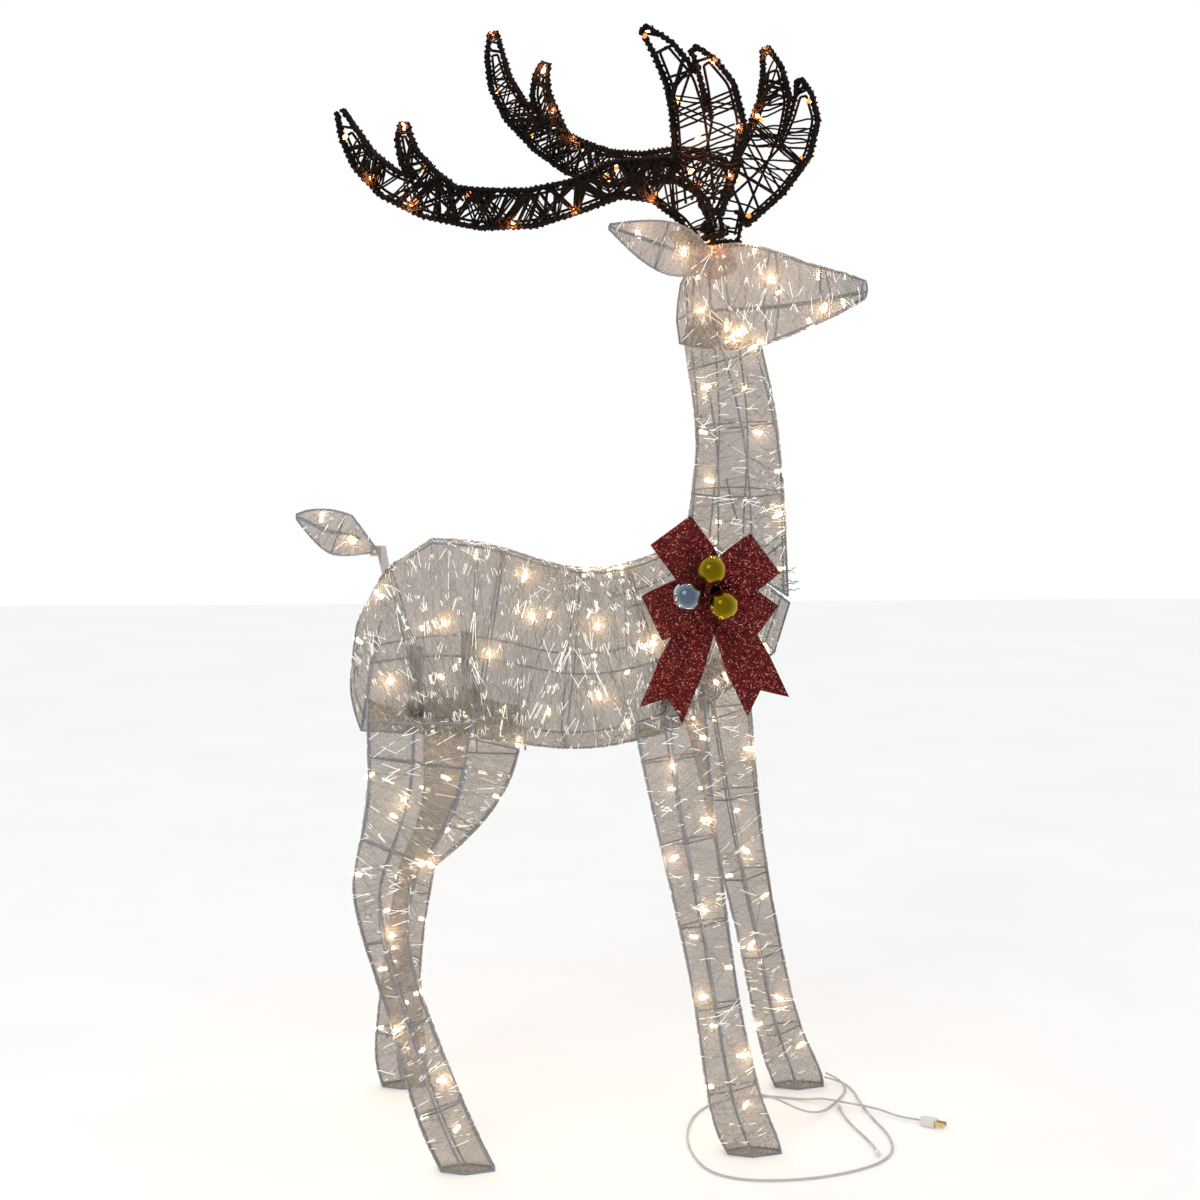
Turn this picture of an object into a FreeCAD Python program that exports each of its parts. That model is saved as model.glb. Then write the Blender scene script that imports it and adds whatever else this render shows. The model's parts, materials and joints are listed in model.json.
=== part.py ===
import FreeCAD, Part
import math
import os
import Sketcher

from FreeCAD import Placement, Rotation, Vector

# Yard reindeer in thread-wound wire sections, standing on four hooves.
# +X is the way the deer faces, +Y is its left side, +Z is up.  The floor is z = 0.
# Millimetres throughout.  "near" is the deer's right side (-Y), "far" its left (+Y).

doc = FreeCAD.newDocument("yard_reindeer")

# ---------------------------------------------------------------- driving sizes

SIZES = [
    ("WireRadius", 2.2),
    ("RibRadius", 1.8),
    ("SkinWall", 1.5),
    ("WireInset", 8.5),
    ("StringRadius", 1.0),
    ("BulbRadius", 3.0),
    ("BulbLength", 13.0),
    ("HeadTurn", 22.0),
    ("HeadPivotX", 165.0),
    ("CrownHeight", 1205.0),
    ("NeckPostRadius", 10.0),
    ("NeckPostBottom", 654.0),
    ("NeckPostTop", 850.0),
    ("NeckPostX", 200.0),
    ("NeckSocketTop", 756.0),
    ("PostClearance", 0.08),
    ("SocketWall", 2.4),
    ("LegPostRadius", 7.0),
    ("LegSocketDepth", 60.0),
    ("SkinHoleGap", 3.0),
    ("CrossbarHalf", 26.0),
    ("CrossbarRadius", 8.5),
    ("CrossbarLift", 9.0),
    ("AntlerPostRadius", 5.5),
    ("AntlerBaseY", 44.0),
    ("AntlerSplay", 135.0),
    ("AntlerSplayReach", 350.0),
    ("AntlerFlatness", 0.52),
    ("AntlerSetAngle", 9.5),
    ("RattanWall", 4.0),
    ("TailPinRadius", 2.0),
    ("TailPinX", -287.0),
    ("TailPinZ", 790.0),
    ("RibbonWidth", 64.0),
    ("RibbonThickness", 1.2),
    ("LoopDepth", 20.0),
    ("BowX", 151.0),
    ("BowZ", 748.0),
    ("BallRadius", 19.0),
    ("LeadDiameter", 3.0),
    ("CentreX", -16.0),
    ("CentreY", 61.0),
]

sheet = doc.addObject("Spreadsheet::Sheet", "Sizes")
for row, (alias, value) in enumerate(SIZES, start=1):
    sheet.set("A%d" % row, alias)
    sheet.set("B%d" % row, str(value))
    sheet.setAlias("B%d" % row, alias)
doc.recompute()


def size(alias):
    return float(sheet.get(alias))


SUBPARTS = []


def keep(piece, label):
    """Names a finished sub-part; its label is its file's name."""
    piece.Label = label
    SUBPARTS.append(piece)
    return piece


def bind(piece, **expressions):
    for name, alias in expressions.items():
        piece.setExpression(name, alias)


def feature(label, shape, placement=None):
    piece = doc.addObject("Part::Feature", label)
    piece.Shape = shape
    if placement is not None:
        piece.Placement = placement
    return keep(piece, label)


# ---------------------------------------------------------------- shape helpers

def corner_arc(before, here, after, share):
    """Start, middle, end and radius of the arc that rounds one corner, tangent to both runs."""
    back, ahead = before - here, after - here
    reach = share * min(back.Length, ahead.Length)
    half_turn = 0.5 * (math.pi - back.getAngle(ahead))
    start = here + back.normalize() * reach
    end = here + ahead.normalize() * reach
    radius = reach / math.tan(half_turn)
    inward = ((start + end) * 0.5 - here).normalize()
    middle = here + inward * (math.hypot(radius, reach) - radius)
    return start, middle, end, radius


def rounded_path(points, share=0.45, closed=False):
    """Straight runs joined by tangent arcs, each arc as large as share of its shorter run."""
    points = [Vector(*p) for p in points]
    count = len(points)
    corners = []
    for i, here in enumerate(points):
        if not closed and i in (0, count - 1):
            corners.append((here, here, here, None))
        else:
            corners.append(corner_arc(points[i - 1], here, points[(i + 1) % count], share))
    edges = []
    for i in range(count if closed else count - 1):
        leave, arrive = corners[i], corners[(i + 1) % count]
        if leave[3] is not None:
            edges.append(Part.Arc(leave[0], leave[1], leave[2]).toShape())
        edges.append(Part.LineSegment(leave[2], arrive[0]).toShape())
    radii = [c[3] for c in corners if c[3] is not None]
    return Part.Wire(edges), radii


def rod(points, radius, share=0.3, closed=False):
    """A round wire bent along the points."""
    path, _ = rounded_path(points, share, closed)
    first = path.OrderedEdges[0]
    start = first.valueAt(first.FirstParameter)
    along = first.tangentAt(first.FirstParameter)
    ring = Part.Wire(Part.makeCircle(radius, start, along))
    sweep = Part.BRepOffsetAPI.MakePipeShell(path)
    sweep.add(ring)
    sweep.build()
    sweep.makeSolid()
    return sweep.shape()


def bar(start, end, radius):
    """A straight round wire."""
    return Part.makeCylinder(radius, (end - start).Length, start, end - start)


def ring_of_bars(corners, radius):
    """A ring of straight wires that meet inside the long wires."""
    return [bar(a, b, radius) for a, b in zip(corners, corners[1:] + corners[:1])]


def cage(rows, ring_at):
    """Long wires through the matching corners of every row, with rings at some rows."""
    wires = [rod([row[k] for row in rows], size("WireRadius")) for k in range(len(rows[0]))]
    for i in ring_at:
        wires += ring_of_bars(rows[i], size("RibRadius"))
    return wires


def between(a, b, share):
    return a + (b - a) * share


def fused(shapes):
    return shapes[0].fuse(shapes[1:])


def loft(sections):
    wires = [Part.makePolygon(list(s) + [s[0]]) for s in sections]
    return Part.makeLoft(wires, True, True)


def centre_of(section):
    total = Vector()
    for p in section:
        total = total + p
    return total * (1.0 / len(section))


def drawn_in(section, distance):
    """The section with every corner moved towards its centre."""
    middle = centre_of(section)
    return [p + (middle - p).normalize() * distance for p in section]


def skin(sections, wall):
    """A thin closed shell over a row of matching polygons."""
    outer = loft(sections)
    inner_sections = [drawn_in(s, wall * 1.25) for s in sections]
    for index, neighbour in ((0, 1), (-1, -2)):
        step = centre_of(inner_sections[neighbour]) - centre_of(inner_sections[index])
        step = step.normalize() * (wall * 1.25)
        inner_sections[index] = [p + step for p in inner_sections[index]]
    return outer.cut(loft(inner_sections))


def upright_hole(x, y, radius, low, high):
    return Part.makeCylinder(radius, high - low, Vector(x, y, low))


def bulb_at(point, direction, radius, length):
    barrel = Part.makeCylinder(radius, length - radius, point, direction)
    tip_centre = point + Vector(direction).normalize() * (length - radius)
    return barrel.fuse(Part.makeSphere(radius, tip_centre))


def light_string(points, placement=None, label=""):
    """A thin lead with a mini lamp standing at every bend."""
    share = 0.3
    points = [Vector(*p) for p in points]
    lead = rod(points, size("StringRadius"), share)
    lamps = []
    for before, here, after in zip(points, points[1:], points[2:]):
        middle = corner_arc(before, here, after, share)[1]
        outward = (here - middle).normalize()
        lamps.append(bulb_at(middle, outward, size("BulbRadius"), size("BulbLength")))
    return feature(label, fused([lead] + lamps), placement)


# ---------------------------------------------------------------- body

# Each station: back x, z, belly x, z, half width.
BODY = [
    (-309, 711, -323, 600, 52),
    (-271, 768, -306, 556, 84),
    (-211, 804, -205, 552, 103),
    (-130, 800, -130, 545, 103),
    (-52, 766, -57, 531, 96),
    (17, 760, 12, 529, 94),
    (75, 775, 108, 554, 95),
    (108, 792, 190, 613, 88),
    (123, 803, 243, 656, 78),
    (132, 812, 264, 722, 66),
]

# Stations that have a ring, the ring the bow is tied to, and the widest wire of each side.
BODY_RINGS = (0, 1, 2, 4, 5, 8, 9)
BOW_RING = 8
SIDE_WIRE = {-1: 2, 1: 5}

# Corner places down a body section: share of the height, share of the half width.
BODY_CORNERS = [(0.0, 0.30), (0.2, 0.78), (0.55, 1.0), (1.0, 0.62)]


def body_section(station):
    back_x, back_z, belly_x, belly_z, half = station
    right, left = [], []
    for down, out in BODY_CORNERS:
        x = back_x + (belly_x - back_x) * down
        z = back_z + (belly_z - back_z) * down
        right.append(Vector(x, -half * out, z))
        left.append(Vector(x, half * out, z))
    return right + left[::-1]


def body_rows():
    """Corners that the long wires of the body pass through, a row for each station."""
    sections = [body_section(s) for s in BODY]
    sections[0] = [p + Vector(6, 0, 0) for p in sections[0]]
    sections[-1] = [p + Vector(-4, 0, -5) for p in sections[-1]]
    return [drawn_in(s, size("WireInset")) for s in sections]


def on_wire(rows, corner, x):
    """The point of a long wire at a given x."""
    for row, following in zip(rows, rows[1:]):
        a, b = row[corner], following[corner]
        if a.x <= x <= b.x:
            return between(a, b, (x - a.x) / (b.x - a.x))
    raise RuntimeError("no wire at x %.0f" % x)


def socket_stays(rows):
    """Short bars that hold the leg sockets and the neck socket to the side wires."""
    rib = size("RibRadius")
    leg_wall = size("LegPostRadius") + size("PostClearance") + 0.5 * size("SocketWall")
    neck_wall = size("NeckPostRadius") + size("PostClearance") + 0.5 * size("SocketWall")
    stays = []
    for x, y, low in LEG_POSTS.values():
        side = math.copysign(1, y)
        start = on_wire(rows, SIDE_WIRE[side], x)
        stays.append(bar(start, Vector(x, y + side * leg_wall, start.z), rib))
    for side in (-1, 1):
        start = rows[-1][SIDE_WIRE[side]]
        end = Vector(size("NeckPostX"), side * neck_wall, size("NeckSocketTop") - 10)
        stays.append(bar(start, end, rib))
    return stays


def bow_anchor():
    """Where the bow's wire is twisted round a ring of the body frame."""
    row = body_rows()[BOW_RING]
    upper, lower = row[1], row[2]
    return between(upper, lower, (upper.z - size("BowZ")) / (upper.z - lower.z))


def body_frame():
    rows = body_rows()
    feature("body_frame", fused(cage(rows, BODY_RINGS) + socket_stays(rows)))


# Leg posts: x, y, lowest socket z.
LEG_POSTS = {
    "near_hind": (-232, -68, 612),
    "far_hind": (-165, 72, 612),
    "near_front": (100, -66, 612),
    "far_front": (160, 64, 672),
}


def body_skin():
    shape = skin([body_section(s) for s in BODY], size("SkinWall"))
    hole = size("LegPostRadius") + size("SkinHoleGap") + size("SocketWall")
    for x, y, low in LEG_POSTS.values():
        shape = shape.cut(upright_hole(x, y, hole, 500, low + 20))
    neck_hole = size("NeckPostRadius") + size("SocketWall") + size("SkinHoleGap")
    shape = shape.cut(upright_hole(size("NeckPostX"), 0, neck_hole, 730, 830))
    stem = Part.makeBox(22, 30, 35, Vector(size("TailPinX") + 5, -15, size("TailPinZ") - 40))
    bow_wire = bar(bow_knot_back(), bow_anchor(), 3)
    feature("body_thread_skin", shape.cut(stem).cut(bow_wire))


def body_lights():
    """A lead that zigzags forwards on the near side and back on the far side."""
    xs = [-262, -215, -165, -110, -60, -10, 40, 90, 140]
    near = [(x, -44, 640 if i % 2 else 716) for i, x in enumerate(xs)]
    far = [(x + 12, 44, 700 if i % 2 else 628) for i, x in enumerate(reversed(xs))]
    light_string(near + [(178, -22, 690), (180, 22, 690)] + far, label="body_light_string")


def leg_sockets():
    """Blind tubes in the body that the leg posts push up into."""
    for name, (x, y, low) in LEG_POSTS.items():
        tube = doc.addObject("Part::Cylinder", name + "_tube")
        bind(tube, Radius="Sizes.LegPostRadius + Sizes.PostClearance + Sizes.SocketWall")
        bind(tube, Height="Sizes.LegSocketDepth")
        hole = doc.addObject("Part::Cylinder", name + "_tube_bore")
        bind(hole, Radius="Sizes.LegPostRadius + Sizes.PostClearance")
        bind(hole, Height="Sizes.LegSocketDepth - Sizes.SocketWall")
        cut = doc.addObject("Part::Cut", name + "_socket")
        cut.Base, cut.Tool = tube, hole
        cut.Placement = Placement(Vector(x, y, low), Rotation())
        keep(cut, name + "_leg_socket")


def neck_socket():
    """Blind tube on the body that the neck's post drops into."""
    body = doc.addObject("PartDesign::Body", "neck_socket_body")
    ring = body.newObject("Sketcher::SketchObject", "neck_socket_ring")
    attach(ring, body, "XY_Plane")
    circle(ring, "Sizes.NeckPostRadius + Sizes.PostClearance + Sizes.SocketWall")
    tube = body.newObject("PartDesign::Pad", "neck_socket_pad")
    tube.Profile = ring
    tube.setExpression("Length", "Sizes.NeckSocketTop - Sizes.NeckPostBottom + Sizes.SocketWall")
    doc.recompute()
    bore = body.newObject("Sketcher::SketchObject", "neck_socket_bore")
    attach(bore, body, "XY_Plane")
    bore.AttachmentOffset = Placement(Vector(0, 0, size("SocketWall")), Rotation())
    circle(bore, "Sizes.NeckPostRadius + Sizes.PostClearance")
    pocket = body.newObject("PartDesign::Pocket", "neck_socket_pocket")
    pocket.Profile = bore
    pocket.Reversed = True
    pocket.setExpression("Length", "Sizes.NeckSocketTop - Sizes.NeckPostBottom + 1")
    floor = size("NeckPostBottom") - size("SocketWall")
    body.Placement = Placement(Vector(size("NeckPostX"), 0, floor), Rotation())
    keep(body, "neck_socket")


def attach(sketch, body, role):
    plane = [f for f in body.Origin.OriginFeatures if f.Role == role][0]
    sketch.AttachmentSupport = [(plane, "")]
    sketch.MapMode = "FlatFace"


def circle(sketch, expression, x=0.0, y=0.0):
    index = sketch.addGeometry(Part.Circle(Vector(x, y, 0), Vector(0, 0, 1), 5.0), False)
    constraint = sketch.addConstraint(Sketcher.Constraint("Radius", index, 5.0))
    sketch.setExpression("Constraints[%d]" % constraint, expression)


def outline(sketch, points):
    """A closed run of straight edges."""
    for a, b in zip(points, points[1:] + points[:1]):
        sketch.addGeometry(Part.LineSegment(Vector(a[0], a[1], 0), Vector(b[0], b[1], 0)), False)


# ---------------------------------------------------------------- legs

# Each station: z, rear x, front x.  The top station gives both ends of a sloping edge.
LEGS = {
    "near_hind": {
        "top": (-297, 546, -160, 543),
        "rest": [(480, -293, -172), (440, -301, -193), (390, -313, -220), (362, -319, -241),
                 (300, -306, -247), (235, -283, -233), (160, -259, -205), (62, -236, -165),
                 (0, -204, -133)],
        "hip_y": -78, "hoof_y": -176, "post": (-232, -68),
    },
    "far_hind": {
        "top": (-229, 545, -94, 532),
        "rest": [(505, -226, -90), (438, -226, -115), (381, -241, -159), (336, -268, -213),
                 (262, -278, -226), (165, -290, -239), (47, -307, -229), (0, -292, -222)],
        "hip_y": 78, "hoof_y": 165, "post": (-165, 72),
    },
    "near_front": {
        "top": (56, 527, 148, 566),
        "rest": [(500, 66, 153), (395, 90, 165), (267, 120, 181), (165, 137, 197),
                 (60, 149, 222), (20, 162, 243), (0, 174, 246)],
        "hip_y": -74, "hoof_y": -134, "post": (100, -66),
    },
    "far_front": {
        "top": (124, 553, 219, 624),
        "rest": [(505, 147, 230), (423, 165, 239), (300, 195, 259), (215, 219, 277),
                 (150, 231, 290), (75, 246, 313), (20, 263, 342), (0, 272, 343)],
        "hip_y": 74, "hoof_y": 132, "post": (160, 64),
    },
}

LEG_HALF_TOP = 33.0
LEG_HALF_HOOF = 20.0


def leg_sections(leg):
    """Six-cornered sections: rear edge, two middle corners each side, front edge."""
    rear_x, rear_z, front_x, front_z = leg["top"]
    stations = [(rear_x, rear_z, front_x, front_z)]
    stations += [(rear, z, front, z) for z, rear, front in leg["rest"]]
    height = 0.5 * (rear_z + front_z)
    sections = []
    for x1, z1, x2, z2 in stations:
        share = min(1.0, max(0.0, 1.0 - 0.5 * (z1 + z2) / height))
        y = leg["hip_y"] + (leg["hoof_y"] - leg["hip_y"]) * share
        half = LEG_HALF_TOP + (LEG_HALF_HOOF - LEG_HALF_TOP) * share
        middle = Vector(x1 + 0.45 * (x2 - x1), y, z1 + 0.45 * (z2 - z1))
        edge = 0.35 * half
        sections.append([
            Vector(x1, y - edge, z1), middle + Vector(0, -half, 0), Vector(x2, y - edge, z2),
            Vector(x2, y + edge, z2), middle + Vector(0, half, 0), Vector(x1, y + edge, z1),
        ])
    return sections


def leg_skin(name, leg):
    shape = skin(leg_sections(leg), size("SkinWall"))
    x, y = leg["post"]
    hole = size("LegPostRadius") + size("SkinHoleGap")
    feature(name + "_leg_thread_skin", shape.cut(upright_hole(x, y, hole, 500, 600)))


def leg_frame(name, leg):
    """Four long wires, rings between them, and the post that goes up into the body."""
    sections = leg_sections(leg)
    lift = Vector(0, 0, size("WireRadius") + 2 * size("SkinWall"))
    sections[0] = [p - lift for p in sections[0]]
    sections[-1] = [p + lift for p in sections[-1]]
    inner = [drawn_in(s, size("WireInset")) for s in sections]
    rows = [[between(s[0], s[5], 0.5), s[1], between(s[2], s[3], 0.5), s[4]] for s in inner]
    wires = cage(rows, (2, len(rows) // 2 + 1, len(rows) - 1))
    rim = [between(a, b, 0.06) for a, b in zip(rows[0], rows[1])]
    wires += ring_of_bars(rim, size("RibRadius"))
    x, y = leg["post"]
    rear, near_side, front, far_side = rows[0]
    bar_z = between(rear, front, (x - rear.x) / (front.x - rear.x)).z
    crossing = Vector(x, y, bar_z)
    top = LEG_POSTS[name][2] + size("LegSocketDepth") - size("SocketWall")
    bottom = bar_z - 8
    post = Part.makeCylinder(size("LegPostRadius"), top - bottom, Vector(x, y, bottom))
    stays = [bar(near_side, crossing, size("WireRadius")), bar(crossing, far_side, size("WireRadius"))]
    feature(name + "_leg_frame", fused(wires + stays + [post]))


def leg_lights(name, leg):
    """A lead that zigzags down the inside of the leg, a lamp at each bend."""
    sections = leg_sections(leg)
    aside = size("WireRadius") + size("BulbRadius") + 0.8
    points = []
    for i, (upper, lower) in enumerate(zip(sections, sections[1:])):
        middle = (centre_of(upper) + centre_of(lower)) * 0.5
        swing = 0.16 * (lower[2].x - lower[0].x) * (1 if i % 2 else -1)
        points.append(middle + Vector(swing, aside, 0))
    start = points[0] + Vector(18, 10, 12)
    light_string([start] + points, label=name + "_leg_light_string")


def legs():
    for name, leg in LEGS.items():
        leg_frame(name, leg)
        leg_skin(name, leg)
        leg_lights(name, leg)


def belly_height(x):
    for (_, _, x1, z1, _), (_, _, x2, z2, _) in zip(BODY, BODY[1:]):
        if x1 <= x <= x2:
            return z1 + (z2 - z1) * (x - x1) / (x2 - x1)
    raise RuntimeError("no belly at x %.0f" % x)


def leg_clips():
    """Small wire clips hooked through the belly, one at each leg's front edge."""
    clips = []
    for leg in LEGS.values():
        x = leg["top"][2] + 7
        top = belly_height(x) + 5
        low = top - 30
        y = leg["post"][1] * 0.6
        points = [(x, y - 6, top), (x, y - 6, low), (x, y + 6, low), (x, y + 6, top)]
        clips.append(rod(points, 1.2, share=0.4))
    feature("leg_clips", Part.makeCompound(clips))


# ---------------------------------------------------------------- neck and head

# Each station: back x, z, front x, z, half width, turn towards the near side in degrees.
NECK = [
    (132, 818, 264, 728, 66, 0),
    (138, 880, 260, 845, 60, 3),
    (144, 935, 255, 915, 54, 8),
    (138, 1000, 246, 980, 50, 14),
    (126, 1052, 225, 1036, 46, 22),
]

# Corner places across a neck section: share from back to front, share of the half width.
NECK_CORNERS = [(0.0, 0.35), (0.25, 0.88), (0.6, 1.0), (1.0, 0.35)]

# Head stations in the head's own frame: forward x, top z, bottom z, half width.
HEAD = [
    (-45, -62, -142, 26),
    (-18, -20, -147, 44),
    (30, -7, -150, 48),
    (75, -17, -142, 42),
    (125, -37, -121, 33),
    (175, -49, -100, 25),
    (203, -59, -82, 16),
]

# Where the crossbar's two feet stand, in the head's own frame.
CROSSBAR_FOOT_X = 12.0
CROSSBAR_FOOT_Y = 12.0

HEAD_CORNERS = [(0.0, 0.36), (0.3, 0.9), (0.62, 1.0), (1.0, 0.42)]


def turned(point, degrees):
    pivot = Vector(size("HeadPivotX"), 0, 0)
    return Rotation(Vector(0, 0, 1), -degrees).multVec(point - pivot) + pivot


def neck_section(station):
    back_x, back_z, front_x, front_z, half, turn = station
    right, left = [], []
    for along, out in NECK_CORNERS:
        x = back_x + (front_x - back_x) * along
        z = back_z + (front_z - back_z) * along
        right.append(turned(Vector(x, -half * out, z), turn))
        left.append(turned(Vector(x, half * out, z), turn))
    return right + left[::-1]


def head_section(station):
    x, top, bottom, half = station
    right, left = [], []
    for down, out in HEAD_CORNERS:
        z = top + (bottom - top) * down
        right.append(Vector(x, -half * out, z))
        left.append(Vector(x, half * out, z))
    return right + left[::-1]


def head_placement():
    """The head's frame: its origin on the crown, turned towards the near side."""
    crown = Vector(size("HeadPivotX"), 0, size("CrownHeight"))
    return Placement(crown, Rotation(Vector(0, 0, 1), -size("HeadTurn")))


def gathered(section):
    """The corners with the first and last made one, and the middle two made one."""
    return [between(section[0], section[7], 0.5), section[1], section[2],
            between(section[3], section[4], 0.5), section[5], section[6]]


def neck_frame():
    """Long wires and rings of the neck, with the post that drops into the body."""
    sections = [neck_section(s) for s in NECK]
    sections[0] = [p + Vector(3, 0, 6) for p in sections[0]]
    sections[-1] = [p - Vector(0, 0, 6) for p in sections[-1]]
    rows = [gathered(drawn_in(s, size("WireInset"))) for s in sections]
    wires = cage(rows, range(len(rows)))
    low, top = size("NeckPostBottom"), size("NeckPostTop")
    post = upright_hole(size("NeckPostX"), 0, size("NeckPostRadius"), low, top)
    centre = Vector(size("NeckPostX"), 0, top - 6)
    stays = [bar(rows[1][k], centre, size("WireRadius")) for k in (1, 2, 4, 5)]
    feature("neck_frame", fused(wires + [post] + stays))


def neck_skin():
    shape = skin([neck_section(s) for s in NECK], size("SkinWall"))
    hole = size("NeckPostRadius") + size("SkinHoleGap")
    feature("neck_thread_skin", shape.cut(upright_hole(size("NeckPostX"), 0, hole, 700, 820)))


def neck_lights():
    points = [(232, -10, 790), (238, -24, 830), (222, 22, 866), (176, -22, 884), (228, 8, 915),
              (172, 24, 945), (216, -20, 978), (165, 4, 1004), (196, 0, 1030)]
    light_string(points, label="neck_light_string")


def head_frame():
    """Long wires and rings of the head, with two feet under the antlers' crossbar."""
    sections = [head_section(s) for s in HEAD]
    sections[0] = [p + Vector(7, 0, 0) for p in sections[0]]
    sections[-1] = [p - Vector(9, 0, 0) for p in sections[-1]]
    rows = [gathered(drawn_in(s, size("WireInset"))) for s in sections]
    parts = cage(rows, (1, 2, 4))
    share = (CROSSBAR_FOOT_X - rows[1][1].x) / (rows[2][1].x - rows[1][1].x)
    for side, wire_corner in ((-1, 1), (1, 5)):
        base = Vector(CROSSBAR_FOOT_X, side * CROSSBAR_FOOT_Y, -32)
        top = size("CrossbarLift") - 0.5 * size("CrossbarRadius")
        parts.append(Part.makeCylinder(3, top - base.z, base))
        anchor = between(rows[1][wire_corner], rows[2][wire_corner], share)
        parts.append(bar(anchor, base + Vector(0, 0, 2.5), size("WireRadius")))
    low = Vector(0, 0, 2.5)
    near_foot = Vector(CROSSBAR_FOOT_X, -CROSSBAR_FOOT_Y, -32) + low
    far_foot = Vector(CROSSBAR_FOOT_X, CROSSBAR_FOOT_Y, -32) + low
    parts.append(bar(near_foot, far_foot, size("WireRadius")))
    feature("head_frame", fused(parts), head_placement())


def head_skin():
    shape = skin([head_section(s) for s in HEAD], size("SkinWall"))
    for side in (-1, 1):
        shape = shape.cut(upright_hole(CROSSBAR_FOOT_X, side * CROSSBAR_FOOT_Y, 4.5, -60, 10))
    feature("head_thread_skin", shape, head_placement())


def head_lights():
    points = [(-20, 8, -60), (-22, -18, -100), (20, 20, -110), (48, -20, -60), (74, 16, -96),
              (104, -12, -62), (136, 8, -88), (166, 0, -72)]
    light_string(points, head_placement(), "head_light_string")


def antler_crossbar():
    """Tube across the crown; each antler's post turns in one end of it."""
    tube = doc.addObject("Part::Cylinder", "crossbar_tube")
    bind(tube, Radius="Sizes.CrossbarRadius", Height="2 * Sizes.CrossbarHalf")
    bore = doc.addObject("Part::Cylinder", "crossbar_bore")
    bind(bore, Radius="Sizes.AntlerPostRadius + Sizes.PostClearance", Height="2 * Sizes.CrossbarHalf")
    cut = doc.addObject("Part::Cut", "crossbar_cut")
    cut.Base, cut.Tool = tube, bore
    local = Placement(Vector(0, size("CrossbarHalf"), size("CrossbarLift")), Rotation(Vector(1, 0, 0), 90))
    cut.Placement = head_placement() * local
    keep(cut, "antler_crossbar")


# ---------------------------------------------------------------- ears

# Leaf stations: share of the length, half breadth.
EAR_LENGTH = 150.0
EAR = [(0.0, 9), (0.22, 32), (0.48, 36), (0.75, 22), (0.93, 9), (1.0, 4)]
EAR_ROOT = Vector(14, 52, -38)
EAR_TIP = Vector(-126, 150, 18)


def ear_axes(side):
    root = Vector(EAR_ROOT.x, side * EAR_ROOT.y, EAR_ROOT.z)
    tip = Vector(EAR_TIP.x, side * EAR_TIP.y, EAR_TIP.z)
    along = (tip - root).normalize()
    out = Vector(0.55, side * 0.8, 0.0)
    face = (out - along * out.dot(along)).normalize()
    across = face.cross(along).normalize()
    if across.z < 0:
        across = across * -1
    return root, along, across, face


def ear_sections(side, trim=0.0):
    root, along, across, face = ear_axes(side)
    sections = []
    for share, half in EAR:
        centre = root + along * (EAR_LENGTH * share)
        breadth = max(1.5, half - trim)
        depth = max(1.0, 0.22 * half + 3 - trim)
        sections.append([centre - across * breadth, centre + face * depth,
                         centre + across * breadth, centre - face * depth])
    return sections


def ears():
    for side, name in ((-1, "near"), (1, "far")):
        root, along, across, face = ear_axes(side)
        shape = skin(ear_sections(side), size("SkinWall"))
        entry = Part.makeCylinder(4.5, 30, root - along * 15, along)
        feature(name + "_ear_thread_skin", shape.cut(entry), head_placement())
        trim = 7.0
        edge_up, edge_down = [], []
        for share, half in EAR[1:5]:
            centre = root + along * (EAR_LENGTH * share)
            reach = max(2.0, half - trim)
            edge_up.append(centre + across * reach)
            edge_down.append(centre - across * reach)
        hook = [root - along * 16, root + along * 16]
        loop = [hook[1]] + edge_up + edge_down[::-1] + [hook[1]]
        wire = size("RibRadius")
        shape = fused([rod(loop[:-1], wire), rod([edge_down[0], hook[1]], wire), rod(hook, wire)])
        feature(name + "_ear_frame", shape, head_placement())


# ---------------------------------------------------------------- antlers

# Tines in the antler's own plane: forward x, up z, full breadth.
ANTLER = {
    "beam": [(2, -6, 44), (-4, 34, 58), (-40, 78, 62), (-95, 87, 48), (-150, 74, 44), (-205, 68, 50),
             (-265, 77, 52), (-325, 98, 46), (-375, 130, 40), (-404, 166, 34), (-418, 202, 26),
             (-426, 234, 10)],
    "rear_point": [(-290, 84, 38), (-320, 122, 34), (-340, 157, 28), (-343, 184, 20), (-339, 202, 9)],
    "front_point": [(2, 40, 56), (12, 100, 56), (20, 150, 52), (20, 190, 46), (6, 230, 30), (-12, 258, 10)],
    "brow_point": [(6, 36, 54), (40, 84, 56), (62, 130, 52), (64, 172, 44), (56, 202, 26), (45, 222, 10)],
}


def antler_plane_y(x, z):
    reach = min(1.0, math.hypot(x, z) / size("AntlerSplayReach"))
    return size("AntlerBaseY") + size("AntlerSplay") * reach


def tine_sections(tine, side, trim):
    """Eight-cornered sections across a tine's run."""
    sections = []
    for i, (x, z, breadth) in enumerate(tine):
        before = tine[max(0, i - 1)]
        after = tine[min(len(tine) - 1, i + 1)]
        run = Vector(after[0] - before[0], 0, after[1] - before[1]).normalize()
        across = Vector(-run.z, 0, run.x)
        half = max(1.5, 0.5 * breadth - trim)
        depth = max(1.2, 0.5 * size("AntlerFlatness") * breadth + 2 - trim)
        centre = Vector(x, side * antler_plane_y(x, z), z)
        ring = []
        for k in range(8):
            angle = math.pi * (k + 0.5) / 4
            ring.append(centre + across * (half * math.cos(angle)) + Vector(0, depth * math.sin(angle), 0))
        sections.append(ring)
    first, last = tine[0], tine[-1]
    if trim:
        sections[0] = [p + Vector(0, 0, trim) if first[1] < 0 else p for p in sections[0]]
        run = (centre_of(sections[-1]) - centre_of(sections[-2])).normalize()
        sections[-1] = [p - run * trim for p in sections[-1]]
    return sections


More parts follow.
